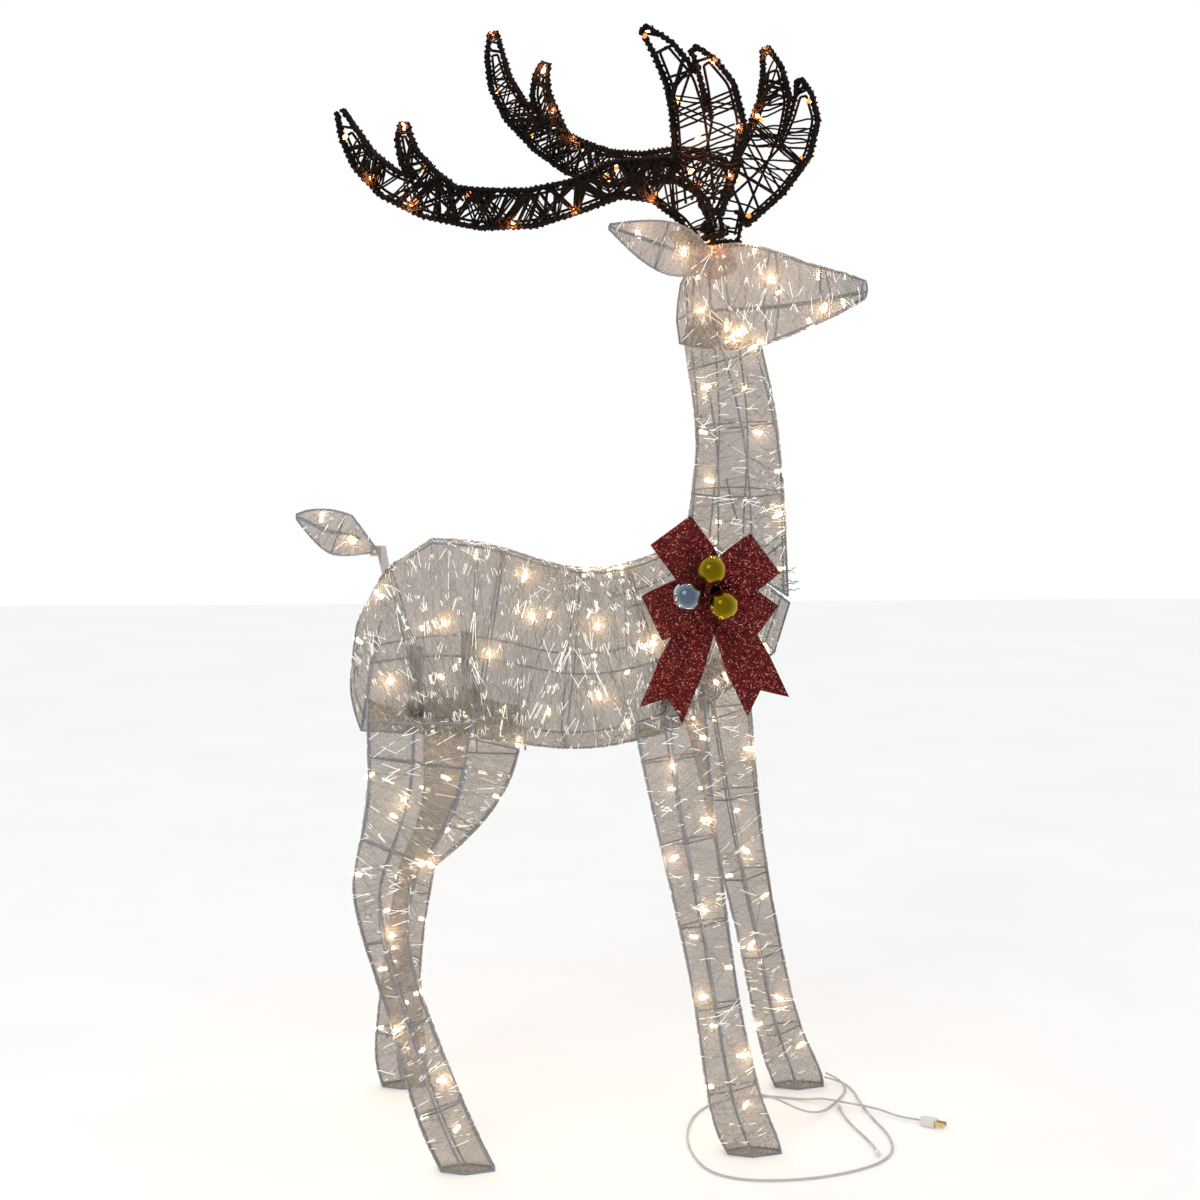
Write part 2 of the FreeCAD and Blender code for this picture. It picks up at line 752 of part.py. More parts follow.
def antler_placement(side):
    """The head's frame tipped about the crossbar: near antler back, far antler up."""
    tip = size("AntlerSetAngle") * side
    lift = Vector(0, 0, size("CrossbarLift"))
    about_bar = Placement(lift, Rotation(Vector(0, 1, 0), tip))
    return head_placement() * about_bar * Placement(lift * -1, Rotation())


def antler_rattan(name, side):
    outer = fused([loft(tine_sections(t, side, 0.0)) for t in ANTLER.values()])
    inner = fused([loft(tine_sections(t, side, size("RattanWall"))) for t in ANTLER.values()])
    post_hole = Part.makeCylinder(size("AntlerPostRadius") + 1.2, 30,
                                  Vector(0, side * 20, size("CrossbarLift")), Vector(0, side, 0))
    feature(name + "_antler_rattan", outer.cut(inner).cut(post_hole), antler_placement(side))


def antler_frame(name, side):
    """One bent wire round each tine, and the post that turns in the crossbar."""
    wire = size("RibRadius")
    wires = []
    for tine in ANTLER.values():
        up, down = [], []
        for i, (x, z, breadth) in enumerate(tine[:-1]):
            before, after = tine[max(0, i - 1)], tine[i + 1]
            run = Vector(after[0] - before[0], 0, after[1] - before[1]).normalize()
            across = Vector(-run.z, 0, run.x)
            reach = max(2.2, 0.5 * breadth - size("RattanWall") - wire - 3.0)
            centre = Vector(x, side * antler_plane_y(x, z), z)
            if i == 0 and z < 0:
                centre = centre + Vector(0, 0, 10)
            up.append(centre + across * reach)
            down.append(centre - across * reach)
        wires.append(rod(up + down[::-1], wire, share=0.25))
    base_y = side * (size("AntlerBaseY") + 3)
    inner_end = side * 2.0
    post = Part.makeCylinder(size("AntlerPostRadius"), abs(base_y - inner_end),
                             Vector(0, inner_end, size("CrossbarLift")), Vector(0, side, 0))
    bar = rod([(-14, base_y, size("CrossbarLift")), (16, base_y, size("CrossbarLift"))], wire)
    feature(name + "_antler_frame", fused(wires + [post, bar]), antler_placement(side))


def antler_lights(name, side):
    spots = [(-20, 62), (-58, 80), (-92, 92), (-122, 76), (-152, 82), (-182, 66), (-214, 76), (-246, 68),
             (-276, 86), (-308, 86), (-338, 106), (-364, 118), (-384, 142), (-402, 164), (-412, 190)]
    aside = size("RibRadius") + size("BulbRadius") + 0.7
    points = [(x, side * (antler_plane_y(x, z) + aside), z) for x, z in spots]
    light_string(points, antler_placement(side), name + "_antler_light_string")


def antlers():
    for side, name in ((-1, "near"), (1, "far")):
        antler_frame(name, side)
        antler_rattan(name, side)
        antler_lights(name, side)


# ---------------------------------------------------------------- tail

# Leaf stations from the root outwards: x, top z, bottom z, half thickness.
TAIL = [
    (-302, 806, 789, 7),
    (-316, 838, 786, 15),
    (-338, 846, 780, 18),
    (-358, 847, 792, 15),
    (-376, 846, 812, 9),
    (-391, 840, 832, 3),
]


def tail_sections():
    sections = []
    for x, top, bottom, half in TAIL:
        middle = 0.5 * (top + bottom)
        sections.append([Vector(x, 0, top), Vector(x, -half, middle),
                         Vector(x, 0, bottom), Vector(x, half, middle)])
    return sections


def tail():
    pin_x, pin_z = size("TailPinX"), size("TailPinZ")
    shape = skin(tail_sections(), size("SkinWall"))
    entry = Part.makeCylinder(3.5, 16, Vector(-298, 0, 797.5), Vector(-1, 0, 0))
    feature("tail_thread_skin", shape.cut(entry))
    wire = size("RibRadius")
    eye = Part.makeCylinder(5, 14, Vector(pin_x, -7, pin_z), Vector(0, 1, 0))
    stem = rod([(pin_x, 0, pin_z), (-300, 0, 797.5), (-318, 0, 798)], wire, share=0.3)
    loop = rod([(-317, 0, 798), (-324, 0, 832), (-356, 0, 838), (-374, 0, 834), (-356, 0, 802),
                (-336, 0, 790), (-317, 0, 798)][:-1], wire, share=0.3)
    join = rod([(-336, 0, 790), (-317, 0, 798)], wire)
    bore = Part.makeCylinder(size("TailPinRadius") + size("PostClearance"), 14,
                             Vector(pin_x, -7, pin_z), Vector(0, 1, 0))
    feature("tail_frame", fused([eye, stem, loop, join]).cut(bore))
    light_string([(-330, 4, 806), (-338, 0, 818), (-352, 0, 816)], label="tail_light_string")


def tail_pin():
    pin = doc.addObject("Part::Cylinder", "tail_pin_rod")
    bind(pin, Radius="Sizes.TailPinRadius")
    pin.Height = 24
    pin.Placement = Placement(Vector(size("TailPinX"), 12, size("TailPinZ")), Rotation(Vector(1, 0, 0), 90))
    keep(pin, "tail_hinge_pin")


def tail_bracket():
    """Two lugs on a foot that is welded to a ring of the body frame."""
    pin_x, pin_z = size("TailPinX"), size("TailPinZ")
    body = doc.addObject("PartDesign::Body", "tail_bracket_body")
    side = body.newObject("Sketcher::SketchObject", "tail_bracket_side")
    attach(side, body, "XZ_Plane")
    outline(side, [(-6, -6), (4, -6), (10, -31), (20, -31), (14, 6), (-6, 6)])
    pad = body.newObject("PartDesign::Pad", "tail_bracket_pad")
    pad.Profile = side
    pad.Length = 24
    pad.Midplane = True
    doc.recompute()
    slot = body.newObject("Sketcher::SketchObject", "tail_bracket_slot")
    attach(slot, body, "XY_Plane")
    outline(slot, [(-8, -8.5), (8, -8.5), (8, 8.5), (-8, 8.5)])
    gap = body.newObject("PartDesign::Pocket", "tail_bracket_gap")
    gap.Profile = slot
    gap.Type = 1
    gap.Midplane = True
    doc.recompute()
    hole = body.newObject("Sketcher::SketchObject", "tail_bracket_eye")
    attach(hole, body, "XZ_Plane")
    circle(hole, "Sizes.TailPinRadius")
    eye = body.newObject("PartDesign::Pocket", "tail_bracket_hole")
    eye.Profile = hole
    eye.Type = 1
    eye.Midplane = True
    body.Placement = Placement(Vector(pin_x, 0, pin_z), Rotation())
    keep(body, "tail_bracket")


# ---------------------------------------------------------------- bow

# Loops: name, angle of the loop's run from +X, length, start from the centre, layer in y.
BOW_LOOPS = [
    ("upper_left", 124, 96, 33, -6.5),
    ("upper_right", 35, 84, 33, -6.5),
    ("lower_left", 206, 86, 20, 6.5),
    ("lower_right", 326, 84, 20, 6.5),
]

# Streamers: name, angle from +X, length to the tips, start from the centre.
BOW_TAILS = [("left", 252, 180, 24), ("right", 295, 178, 24)]
BOW_MIDDLE_Y = -120.0
TAIL_NOTCH = 24.0

# Balls: name, offset from the bow's centre along x and z.
BALLS = [("gold_upper", -4, 30), ("silver", -35, -3), ("gold_lower", 11, -15)]
BALL_Y = -157.0


def bow_loop(name, angle, length, start, layer):
    """A ribbon doubled back on itself: a flat closed band, open across the ribbon."""
    thick = size("RibbonThickness")
    body = doc.addObject("PartDesign::Body", name + "_loop_body")
    band = body.newObject("Sketcher::SketchObject", name + "_loop_band")
    attach(band, body, "XY_Plane")
    for shrink in (0.0, thick):
        half = 0.5 * size("LoopDepth") - shrink
        throat = 2.4 - 0.8 * shrink
        root = start + shrink
        far = length - 0.5 * size("LoopDepth")
        band.addGeometry(Part.LineSegment(Vector(root, -throat, 0), Vector(far, -half, 0)), False)
        fold = Part.Arc(Vector(far, -half, 0), Vector(far + half, 0, 0), Vector(far, half, 0))
        band.addGeometry(fold, False)
        band.addGeometry(Part.LineSegment(Vector(far, half, 0), Vector(root, throat, 0)), False)
        band.addGeometry(Part.LineSegment(Vector(root, throat, 0), Vector(root, -throat, 0)), False)
    pad = body.newObject("PartDesign::Pad", name + "_loop_pad")
    pad.Profile = band
    pad.setExpression("Length", "Sizes.RibbonWidth")
    pad.Midplane = True
    place = Vector(size("BowX"), BOW_MIDDLE_Y + layer, size("BowZ"))
    body.Placement = Placement(place, Rotation(Vector(0, 1, 0), -angle))
    keep(body, "bow_" + name + "_loop")


def bow_tail(name, angle, length, start):
    """A flat streamer with a swallow-tail end."""
    body = doc.addObject("PartDesign::Body", name + "_tail_body")
    flat = body.newObject("Sketcher::SketchObject", name + "_tail_flat")
    attach(flat, body, "XY_Plane")
    end = 0.47 * size("RibbonWidth")
    root = 0.3 * size("RibbonWidth")
    outline(flat, [(start, -root), (length, -end), (length - TAIL_NOTCH, 0), (length, end), (start, root)])
    pad = body.newObject("PartDesign::Pad", name + "_tail_pad")
    pad.Profile = flat
    pad.setExpression("Length", "Sizes.RibbonThickness")
    y = BOW_MIDDLE_Y + (18.0 if name == "left" else 20.0)
    turn = Rotation(Vector(0, 1, 0), -angle) * Rotation(Vector(1, 0, 0), 90)
    body.Placement = Placement(Vector(size("BowX"), y, size("BowZ")), turn)
    keep(body, "bow_" + name + "_streamer")


def bow_knot_back():
    """A point inside the knot, where its wire starts."""
    return Vector(size("BowX"), BOW_MIDDLE_Y + 10, size("BowZ"))


def bow_tie():
    """The knot that gathers the ribbons, on a wire twisted round the body frame."""
    knot = Part.makeCylinder(12, 28, Vector(size("BowX"), BOW_MIDDLE_Y - 14, size("BowZ")), Vector(0, 1, 0))
    stem = bar(bow_knot_back(), bow_anchor(), 1.5)
    feature("bow_centre_tie", knot.fuse(stem).removeSplitter())


def balls():
    caps = []
    for name, dx, dz in BALLS:
        ball = doc.addObject("Part::Sphere", name + "_shape")
        bind(ball, Radius="Sizes.BallRadius")
        ball.Placement = Placement(Vector(size("BowX") + dx, BALL_Y, size("BowZ") + dz), Rotation())
        keep(ball, name + "_ball")
        back = Vector(size("BowX") + dx, BALL_Y + size("BallRadius") + 0.3, size("BowZ") + dz)
        caps.append(Part.makeCylinder(4, 3.5, back, Vector(0, 1, 0)))
    feature("ball_caps", Part.makeCompound(caps))


def bow():
    for loop in BOW_LOOPS:
        bow_loop(*loop)
    for streamer in BOW_TAILS:
        bow_tail(*streamer)
    bow_tie()
    balls()


# ---------------------------------------------------------------- leads on the floor

FLOOR = 1.6
HUMP = 8.2

# From the near front leg down to the floor and across to the far front hoof.
LINK_ROUTE = [
    (219, -126, 76), (236, -108, 67), (258, -80, 48), (282, -44, 26), (306, -12, 9), (328, 18, FLOOR),
    (346, 48, FLOOR), (362, 78, FLOOR), (372, 106, 3), (365, 126, 11), (346, 131, 18),
]

# From the far front hoof round the near front hoof and out to the plug.
SUPPLY_ROUTE = [
    (346, 139, 9), (362, 140, 4.5), (377, 125, FLOOR), (382, 95, FLOOR), (382, 58, FLOOR),
    (385, 18, FLOOR), (390, -26, FLOOR), (398, -70, FLOOR), (399, -112, FLOOR), (392, -150, FLOOR),
    (373, -182, FLOOR), (345, -205, FLOOR), (309, -224, FLOOR), (267, -237, FLOOR),
    (223, -241, FLOOR), (182, -235, FLOOR), (152, -216, FLOOR), (136, -185, FLOOR),
    (128, -147, FLOOR), (125, -104, FLOOR), (128, -60, FLOOR), (136, -16, FLOOR), (151, 24, FLOOR),
    (175, 57, FLOOR), (207, 78, FLOOR), (243, 84, FLOOR), (278, 77, FLOOR), (306, 63, FLOOR + 0.4),
    (328, 51, HUMP), (357, 32, HUMP), (374, 21, HUMP), (399, 3, HUMP), (423, -15, FLOOR + 2),
    (441, -30, 4.6), (452, -38, 5.2),
]

# A single strand between the two clips on the floor.
STRAND_ROUTE = [
    (349, 21, 3.6), (350, 5, 2.2), (353, -22, FLOOR), (358, -54, FLOOR), (365, -86, FLOOR),
    (370, -114, FLOOR), (372, -136, 2.2), (371, -152, 3.6),
]


def lead(label, route):
    """A round lead along its route, with its arcs as large as the runs allow."""
    radius = 0.5 * size("LeadDiameter")
    path, radii = rounded_path(route, 0.45)
    shape = rod(route, radius, share=0.45)
    expected = math.pi * radius * radius * path.Length
    print("%s: length %.0f, tightest radius %.1f, volume %.4f of section x length" % (
        label, path.Length, min(radii), shape.Volume / expected))
    feature(label, shape)


def plug():
    """A small two-blade plug lying on the floor at the supply lead's end."""
    here, before = Vector(*SUPPLY_ROUTE[-1]), Vector(*SUPPLY_ROUTE[-2])
    angle = math.degrees(math.atan2(here.y - before.y, here.x - before.x))
    place = Placement(here, Rotation(Vector(0, 0, 1), angle))
    body = doc.addObject("PartDesign::Body", "plug_body")
    back = body.newObject("Sketcher::SketchObject", "plug_outline")
    attach(back, body, "XY_Plane")
    outline(back, [(0, -4), (7, -8), (22, -8), (22, 8), (7, 8), (0, 4)])
    pad = body.newObject("PartDesign::Pad", "plug_pad")
    pad.Profile = back
    pad.Length = 9.6
    pad.Midplane = True
    doc.recompute()
    body.Placement = place
    keep(body, "supply_plug")
    blades = []
    for side in (-1, 1):
        blades.append(Part.makeBox(14, 1.4, 6, Vector(22, side * 4.4 - 0.7, -3)))
    feature("supply_plug_blades", Part.makeCompound(blades), place)


def lead_clips():
    """Two crimped clips, one at each end of the single strand."""
    first = Part.makeCylinder(3.4, 9, Vector(349, 21.05, 3.6), Vector(0, 1, 0))
    second = Part.makeCylinder(3.4, 9, Vector(371, -152.05, 3.6), Vector(0, -1, 0))
    feature("lead_clips", Part.makeCompound([first, second]))


def leads():
    lead("leg_link_lead", LINK_ROUTE)
    lead("supply_lead", SUPPLY_ROUTE)
    lead("single_strand", STRAND_ROUTE)
    plug()
    lead_clips()


def set_origin():
    """Moves the sub-parts so that the origin is on the floor under the middle of the deer."""
    centre = Placement(Vector(-size("CentreX"), -size("CentreY"), 0), Rotation())
    for piece in SUBPARTS:
        piece.Placement = centre * piece.Placement


def check():
    """Stops if an object failed, a pocket cut nothing or a sub-part is unsound."""
    for item in doc.Objects:
        if "Invalid" in item.State or "Error" in item.State:
            raise RuntimeError("failed object " + item.Name)
        if item.TypeId == "PartDesign::Pocket" and item.Shape.Volume > item.BaseFeature.Shape.Volume - 1:
            raise RuntimeError("pocket that cuts nothing " + item.Name)
    for piece in SUBPARTS:
        shape = piece.Shape
        if shape.isNull() or not shape.isValid() or shape.Volume <= 0:
            raise RuntimeError("unsound shape " + piece.Label)


def export():
    """Writes one file for each sub-part."""
    os.makedirs("parts", exist_ok=True)
    for piece in SUBPARTS:
        shape = piece.Shape
        box = shape.optimalBoundingBox()
        print("%-30s solids %d volume %.0f  x %.0f..%.0f y %.0f..%.0f z %.1f..%.1f" % (
            piece.Label, len(shape.Solids), shape.Volume, box.XMin, box.XMax,
            box.YMin, box.YMax, box.ZMin, box.ZMax))
        shape.exportStep("parts/%s.step" % piece.Label)


def main():
    body_frame()
    body_skin()
    body_lights()
    leg_sockets()
    neck_socket()
    legs()
    leg_clips()
    neck_frame()
    neck_skin()
    neck_lights()
    head_frame()
    head_skin()
    head_lights()
    antler_crossbar()
    ears()
    antlers()
    tail()
    tail_pin()
    tail_bracket()
    bow()
    leads()
    doc.recompute()
    set_origin()
    check()
    export()


main()
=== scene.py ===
import json
import math
import random
from functools import cache, cached_property

import bmesh
import bpy
import numpy as np
from mathutils import Matrix, Vector
from mathutils.bvhtree import BVHTree

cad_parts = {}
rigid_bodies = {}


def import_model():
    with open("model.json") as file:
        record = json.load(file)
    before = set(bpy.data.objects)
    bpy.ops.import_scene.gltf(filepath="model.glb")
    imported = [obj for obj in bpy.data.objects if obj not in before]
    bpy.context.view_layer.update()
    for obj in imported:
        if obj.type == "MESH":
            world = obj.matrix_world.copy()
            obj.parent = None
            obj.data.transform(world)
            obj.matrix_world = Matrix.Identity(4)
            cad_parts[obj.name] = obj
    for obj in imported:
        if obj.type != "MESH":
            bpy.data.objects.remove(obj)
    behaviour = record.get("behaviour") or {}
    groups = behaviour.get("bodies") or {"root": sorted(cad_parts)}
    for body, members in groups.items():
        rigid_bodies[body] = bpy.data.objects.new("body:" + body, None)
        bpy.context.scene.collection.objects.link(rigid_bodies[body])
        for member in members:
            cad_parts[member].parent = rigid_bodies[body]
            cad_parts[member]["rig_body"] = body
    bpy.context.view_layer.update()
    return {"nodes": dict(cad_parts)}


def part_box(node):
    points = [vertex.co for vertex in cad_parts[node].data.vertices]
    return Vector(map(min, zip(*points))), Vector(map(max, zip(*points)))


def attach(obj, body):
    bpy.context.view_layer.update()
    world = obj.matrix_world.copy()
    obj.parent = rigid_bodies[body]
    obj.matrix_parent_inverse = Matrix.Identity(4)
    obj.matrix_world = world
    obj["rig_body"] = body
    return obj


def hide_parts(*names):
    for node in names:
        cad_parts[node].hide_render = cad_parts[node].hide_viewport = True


# The looks of a light up yard reindeer, in metres: +X is the way the deer faces, +Z is up.
# "near" is the deer's right side (-Y), which the camera sees, and "far" is its left.

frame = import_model()
scene = bpy.context.scene
random.seed(7)

# ---------------------------------------------------------------- camera and light

CAMERA_AT = (-0.141, -3.102, 1.08)
CAMERA_TILT_DOWN = 6.7
CAMERA_YAW = 3.2
CAMERA_LENS = 68.58

KEY_LIGHT_AT = (-1.6, -2.6, 2.6)
KEY_LIGHT_AIM = (0, 0, 0.8)
KEY_LIGHT_POWER = 20
KEY_LIGHT_SIZE = 1.6
FLOOR_HALF = 6.0
FLOOR_TOP = -0.0006


def new_object(name, data):
    """An object linked to the scene."""
    item = bpy.data.objects.new(name, data)
    scene.collection.objects.link(item)
    return item


def add_camera():
    """The camera stands on the deer's right side, a little above its middle."""
    data = bpy.data.cameras.new("camera")
    data.lens = CAMERA_LENS
    camera = new_object("camera", data)
    camera.location = CAMERA_AT
    camera.rotation_euler = (math.radians(90 - CAMERA_TILT_DOWN), 0, math.radians(-CAMERA_YAW))
    scene.camera = camera


def add_key_light():
    """One large lamp high up on the camera's side, towards the deer's tail."""
    data = bpy.data.lights.new("key", "AREA")
    data.energy = KEY_LIGHT_POWER
    data.size = KEY_LIGHT_SIZE
    light = new_object("key", data)
    light.location = KEY_LIGHT_AT
    aim = Vector(KEY_LIGHT_AIM) - Vector(KEY_LIGHT_AT)
    light.rotation_euler = aim.to_track_quat("-Z", "Y").to_euler()


def add_studio():
    """White light from all round, the key light, and a floor just under the hooves."""
    world = bpy.data.worlds.new("studio")
    world.use_nodes = True
    background = world.node_tree.nodes["Background"]
    background.inputs["Color"].default_value = (1.0, 1.0, 1.0, 1.0)
    background.inputs["Strength"].default_value = 1.0
    scene.world = world
    scene.view_settings.view_transform = "Standard"
    add_key_light()
    mesh = bpy.data.meshes.new("floor")
    ways = ((-1, -1), (1, -1), (1, 1), (-1, 1))
    mesh.from_pydata([(x * FLOOR_HALF, y * FLOOR_HALF, FLOOR_TOP) for x, y in ways], [], [(0, 1, 2, 3)])
    mesh.materials.append(floor_material())
    floor = new_object("floor", mesh)


# ---------------------------------------------------------------- material helpers

class Look:
    """A material being made: its nodes, and the Principled shader that they feed."""

    def __init__(self, name):
        self.material = bpy.data.materials.new(name)
        self.material.use_nodes = True
        self.nodes = self.material.node_tree.nodes
        self.links = self.material.node_tree.links
        self.shader = self.nodes["Principled BSDF"]

    def feed(self, socket, value):
        """Links an output to a socket, or gives the socket a plain value."""
        if isinstance(value, bpy.types.NodeSocket):
            self.links.new(value, socket)
        else:
            socket.default_value = value

    def node(self, kind, **values):
        """A new node with its inputs fed; an underscore stands for a space in an input's name."""
        node = self.nodes.new("ShaderNode" + kind)
        for name, value in values.items():
            self.feed(node.inputs[name.replace("_", " ")], value)
        return node

    def shade(self, **values):
        """Feeds inputs of the Principled shader."""
        for name, value in values.items():
            self.feed(self.shader.inputs[name.replace("_", " ")], value)

    @cached_property
    def place(self):
        """Where a point is on its own piece."""
        return self.node("TexCoord").outputs["Object"]

    def noise(self, scale, detail=3.0):
        return self.node("TexNoise", Vector=self.place, Scale=scale, Detail=detail).outputs["Fac"]

    def ramp(self, source, stops):
        """A colour ramp fed by source; stops are (position, colour)."""
        node = self.node("ValToRGB", Fac=source)
        elements = node.color_ramp.elements
        while len(elements) < len(stops):
            elements.new(0.5)
        for element, (position, colour) in zip(elements, stops):
            element.position = position
            element.color = (*colour, 1.0)
        return node.outputs["Color"]

    def mottled(self, scale, dark, pale):
        """Two tones in soft patches."""
        return self.ramp(self.noise(scale), [(0.3, dark), (0.7, pale)])

    def facing(self, blend, stops):
        """A colour ramp from the middle of a round piece, as it is looked at, to its edge."""
        return self.ramp(self.node("LayerWeight", Blend=blend).outputs["Facing"], stops)

    def maths(self, operation, *values, kind="Math"):
        """A sum of numbers, or of vectors where kind is VectorMath."""
        node = self.node(kind)
        node.operation = operation
        for socket, value in zip(node.inputs, values):
            self.feed(socket, value)
        return node.outputs[0]

    def mix(self, share, first, second):
        """One shader over another; share is how much of the second shows."""
        node = self.node("MixShader", Fac=share)
        self.links.new(first, node.inputs[1])
        self.links.new(second, node.inputs[2])
        return node.outputs["Shader"]

    def bump(self, height, strength, depth):
        """Roughens the surface; depth is in metres."""
        node = self.node("Bump", Height=height, Strength=strength, Distance=depth)
        self.shade(Normal=node.outputs["Normal"])


# ---------------------------------------------------------------- materials

def coated(name, patches, dark, pale, grain, **values):
    """A plain surface in two tones; grain is the scale, strength and depth of its fine bumps."""
    look = Look(name)
    look.shade(Base_Color=look.mottled(patches, dark, pale), **values)
    scale, strength, depth = grain
    look.bump(look.noise(scale), strength, depth)
    return look.material


def floor_material():
    """The pale studio floor."""
    look = Look("pale_floor")
    look.shade(Base_Color=look.mottled(3.0, (0.90, 0.90, 0.90), (0.93, 0.93, 0.93)), Roughness=0.8)
    return look.material


def wire_material():
    """Slate-grey powder coat on the frame wires."""
    return coated("slate_wire", 60.0, (0.14, 0.17, 0.22), (0.22, 0.25, 0.31), (900.0, 0.3, 0.0004),
                  Roughness=0.42)


def hatch(look, tilt, scale):
    """Fine wavy lines across the piece, as turns of thin thread."""
    turned = look.node("Mapping", Vector=look.place, Rotation=tilt).outputs["Vector"]
    return look.node("TexWave", Vector=turned, Scale=scale, Distortion=0.7, Detail=0.0).outputs["Fac"]


VEIL_COVER = 0.42
LINE_COVER = 0.10
LIGHT_THROUGH = 0.45


def veil_material():
    """The many fine threads between the thick ones: a veil that lets part of the light through."""
    look = Look("thread_veil")
    lines = look.maths("MAXIMUM", hatch(look, (0.2, 0.65, 0.1), 46.0), hatch(look, (0.1, -0.75, 0.3), 37.0))
    tone = look.maths("ADD", look.maths("MULTIPLY", lines, 0.25), look.noise(5.0))
    colour = look.ramp(tone, [(0.40, (0.228, 0.201, 0.174)), (1.0, (0.405, 0.36, 0.312))])
    look.shade(Base_Color=colour, Roughness=0.3, Specular_IOR_Level=0.25)
    look.bump(lines, 0.2, 0.0004)
    glow = look.node("BsdfTranslucent", Color=colour).outputs["BSDF"]
    threads = look.mix(LIGHT_THROUGH, look.shader.outputs["BSDF"], glow)
    cover = look.maths("ADD", look.maths("MULTIPLY", lines, LINE_COVER), VEIL_COVER)
    veil = look.mix(cover, look.node("BsdfTransparent").outputs["BSDF"], threads)
    look.links.new(veil, look.nodes["Material Output"].inputs["Surface"])
    return look.material


# Which turns of thread get painted glints (painted highlights), and where along them.
TURNS_WITHOUT_PAINTED_GLINTS = 0.74
PAINTED_GLINT_LEVEL = 0.55


def thread_material():
    """Clear spun thread: mostly see-through, and on some turns with short bright painted glints along it,
    which glow a little.
    """
    look = Look("spun_thread")
    own = look.node("NewGeometry").outputs["Random Per Island"]
    # Painted glints: short dashes on some turns, painted pale and given a little glow, standing in for
    # highlights.
    painted_glints = look.maths("MULTIPLY", look.maths("GREATER_THAN", own, TURNS_WITHOUT_PAINTED_GLINTS),
                        look.maths("GREATER_THAN", look.noise(62.0, 1.0), PAINTED_GLINT_LEVEL))
    # The pale end of this ramp is the painted glint colour.
    colour = look.ramp(painted_glints, [(0.0, (0.60, 0.57, 0.52)), (1.0, (1.0, 0.97, 0.90))])
    faint = look.maths("MULTIPLY", own, 0.55)
    look.shade(Base_Color=colour, Roughness=0.15, Specular_IOR_Level=0.9,
               Emission_Color=colour, Emission_Strength=look.maths("MULTIPLY", painted_glints, 0.5),
               Alpha=look.maths("MAXIMUM", painted_glints, faint))
    look.bump(look.noise(700.0), 0.35, 0.0005)
    return look.material


def rattan_material():
    """Dark brown rattan strips, matt with a few worn paler streaks."""
    look = Look("dark_rattan")
    colour = look.ramp(look.noise(120.0, 6.0), [
        (0.35, (0.003, 0.002, 0.002)), (0.6, (0.007, 0.004, 0.003)), (0.8, (0.028, 0.014, 0.009))])
    look.shade(Base_Color=colour, Roughness=0.7, Specular_IOR_Level=0.12)
    look.bump(look.noise(650.0, 4.0), 0.8, 0.0012)
    return look.material


def glow_material(name, colour, strength):
    """The lit core of a mini lamp, hottest in its middle."""
    look = Look(name)
    core = look.facing(0.35, [(0.0, (1.0, 0.97, 0.90)), (1.0, colour)])
    look.shade(Emission_Color=core, Base_Color=core, Emission_Strength=strength)
    return look.material


def envelope_material(name, deep, pale, glow, strength):
    """The clear moulded envelope round a mini lamp's core."""
    look = Look(name)
    look.shade(Base_Color=look.mottled(500.0, deep, pale), Roughness=0.08, IOR=1.45, Transmission_Weight=0.8,
               Emission_Color=(*glow, 1.0), Emission_Strength=strength)
    return look.material


FLAKE_TILT = (1.1, 1.1, 1.1)


def glitter_material():
    """Red ribbon covered in glitter: small flakes, each tilted its own way and each in its own tone, the
    brightest few painted pale as painted sparkle.
    """
    look = Look("red_glitter")
    flakes = look.node("TexVoronoi", Vector=look.place, Scale=780.0).outputs["Color"]
    # Each flake has its own tone of dark red. The brightest few are painted pale pink as painted sparkle, on
    # top of the real glints from their tilts.
    flake_tone_and_sparkle = look.node("SeparateColor", Color=flakes).outputs["Red"]
    colour = look.ramp(flake_tone_and_sparkle, [
        (0.0, (0.014, 0.001, 0.001)), (0.55, (0.07, 0.002, 0.002)), (0.90, (0.24, 0.008, 0.007)),
        (0.985, (0.80, 0.28, 0.22))])
    lean = look.maths("SUBTRACT", flakes, (0.5, 0.5, 0.5), kind="VectorMath")
    straight = look.node("NewGeometry").outputs["Normal"]
    leaning = look.maths("MULTIPLY_ADD", lean, FLAKE_TILT, straight, kind="VectorMath")
    look.shade(Base_Color=colour, Metallic=0.75, Roughness=0.3,
               Normal=look.maths("NORMALIZE", leaning, kind="VectorMath"))
    return look.material


def plated_material(name, deep, middle, bright):
    """Mirror plating with a painted reflection: its colour is deep in the middle of the ball, as it is
    looked at, and bright round its edge, with faint marks.
    """
    look = Look(name)
    marks = look.ramp(look.noise(90.0, 6.0), [(0.4, (0.05, 0.05, 0.05)), (0.8, (0.14, 0.14, 0.14))])
    # Painted reflection: the colour runs from deep in the middle of the ball, as it is looked at, to bright
    # round its edge.
    painted_reflection = look.facing(0.5, [(0.12, deep), (0.62, middle), (0.85, bright)])
    look.shade(Base_Color=painted_reflection, Metallic=1.0, Roughness=marks)
    return look.material


def plastic_material(name, dark, pale, roughness):
    """Moulded plastic with a faint grain."""
    return coated(name, 40.0, dark, pale, (1500.0, 0.2, 0.0002), Roughness=roughness)


def metal_material(name, dark, pale):
    """Bare or plated metal with a fine grain."""
    return coated(name, 200.0, dark, pale, (1200.0, 0.25, 0.0002), Metallic=1.0, Roughness=0.32)


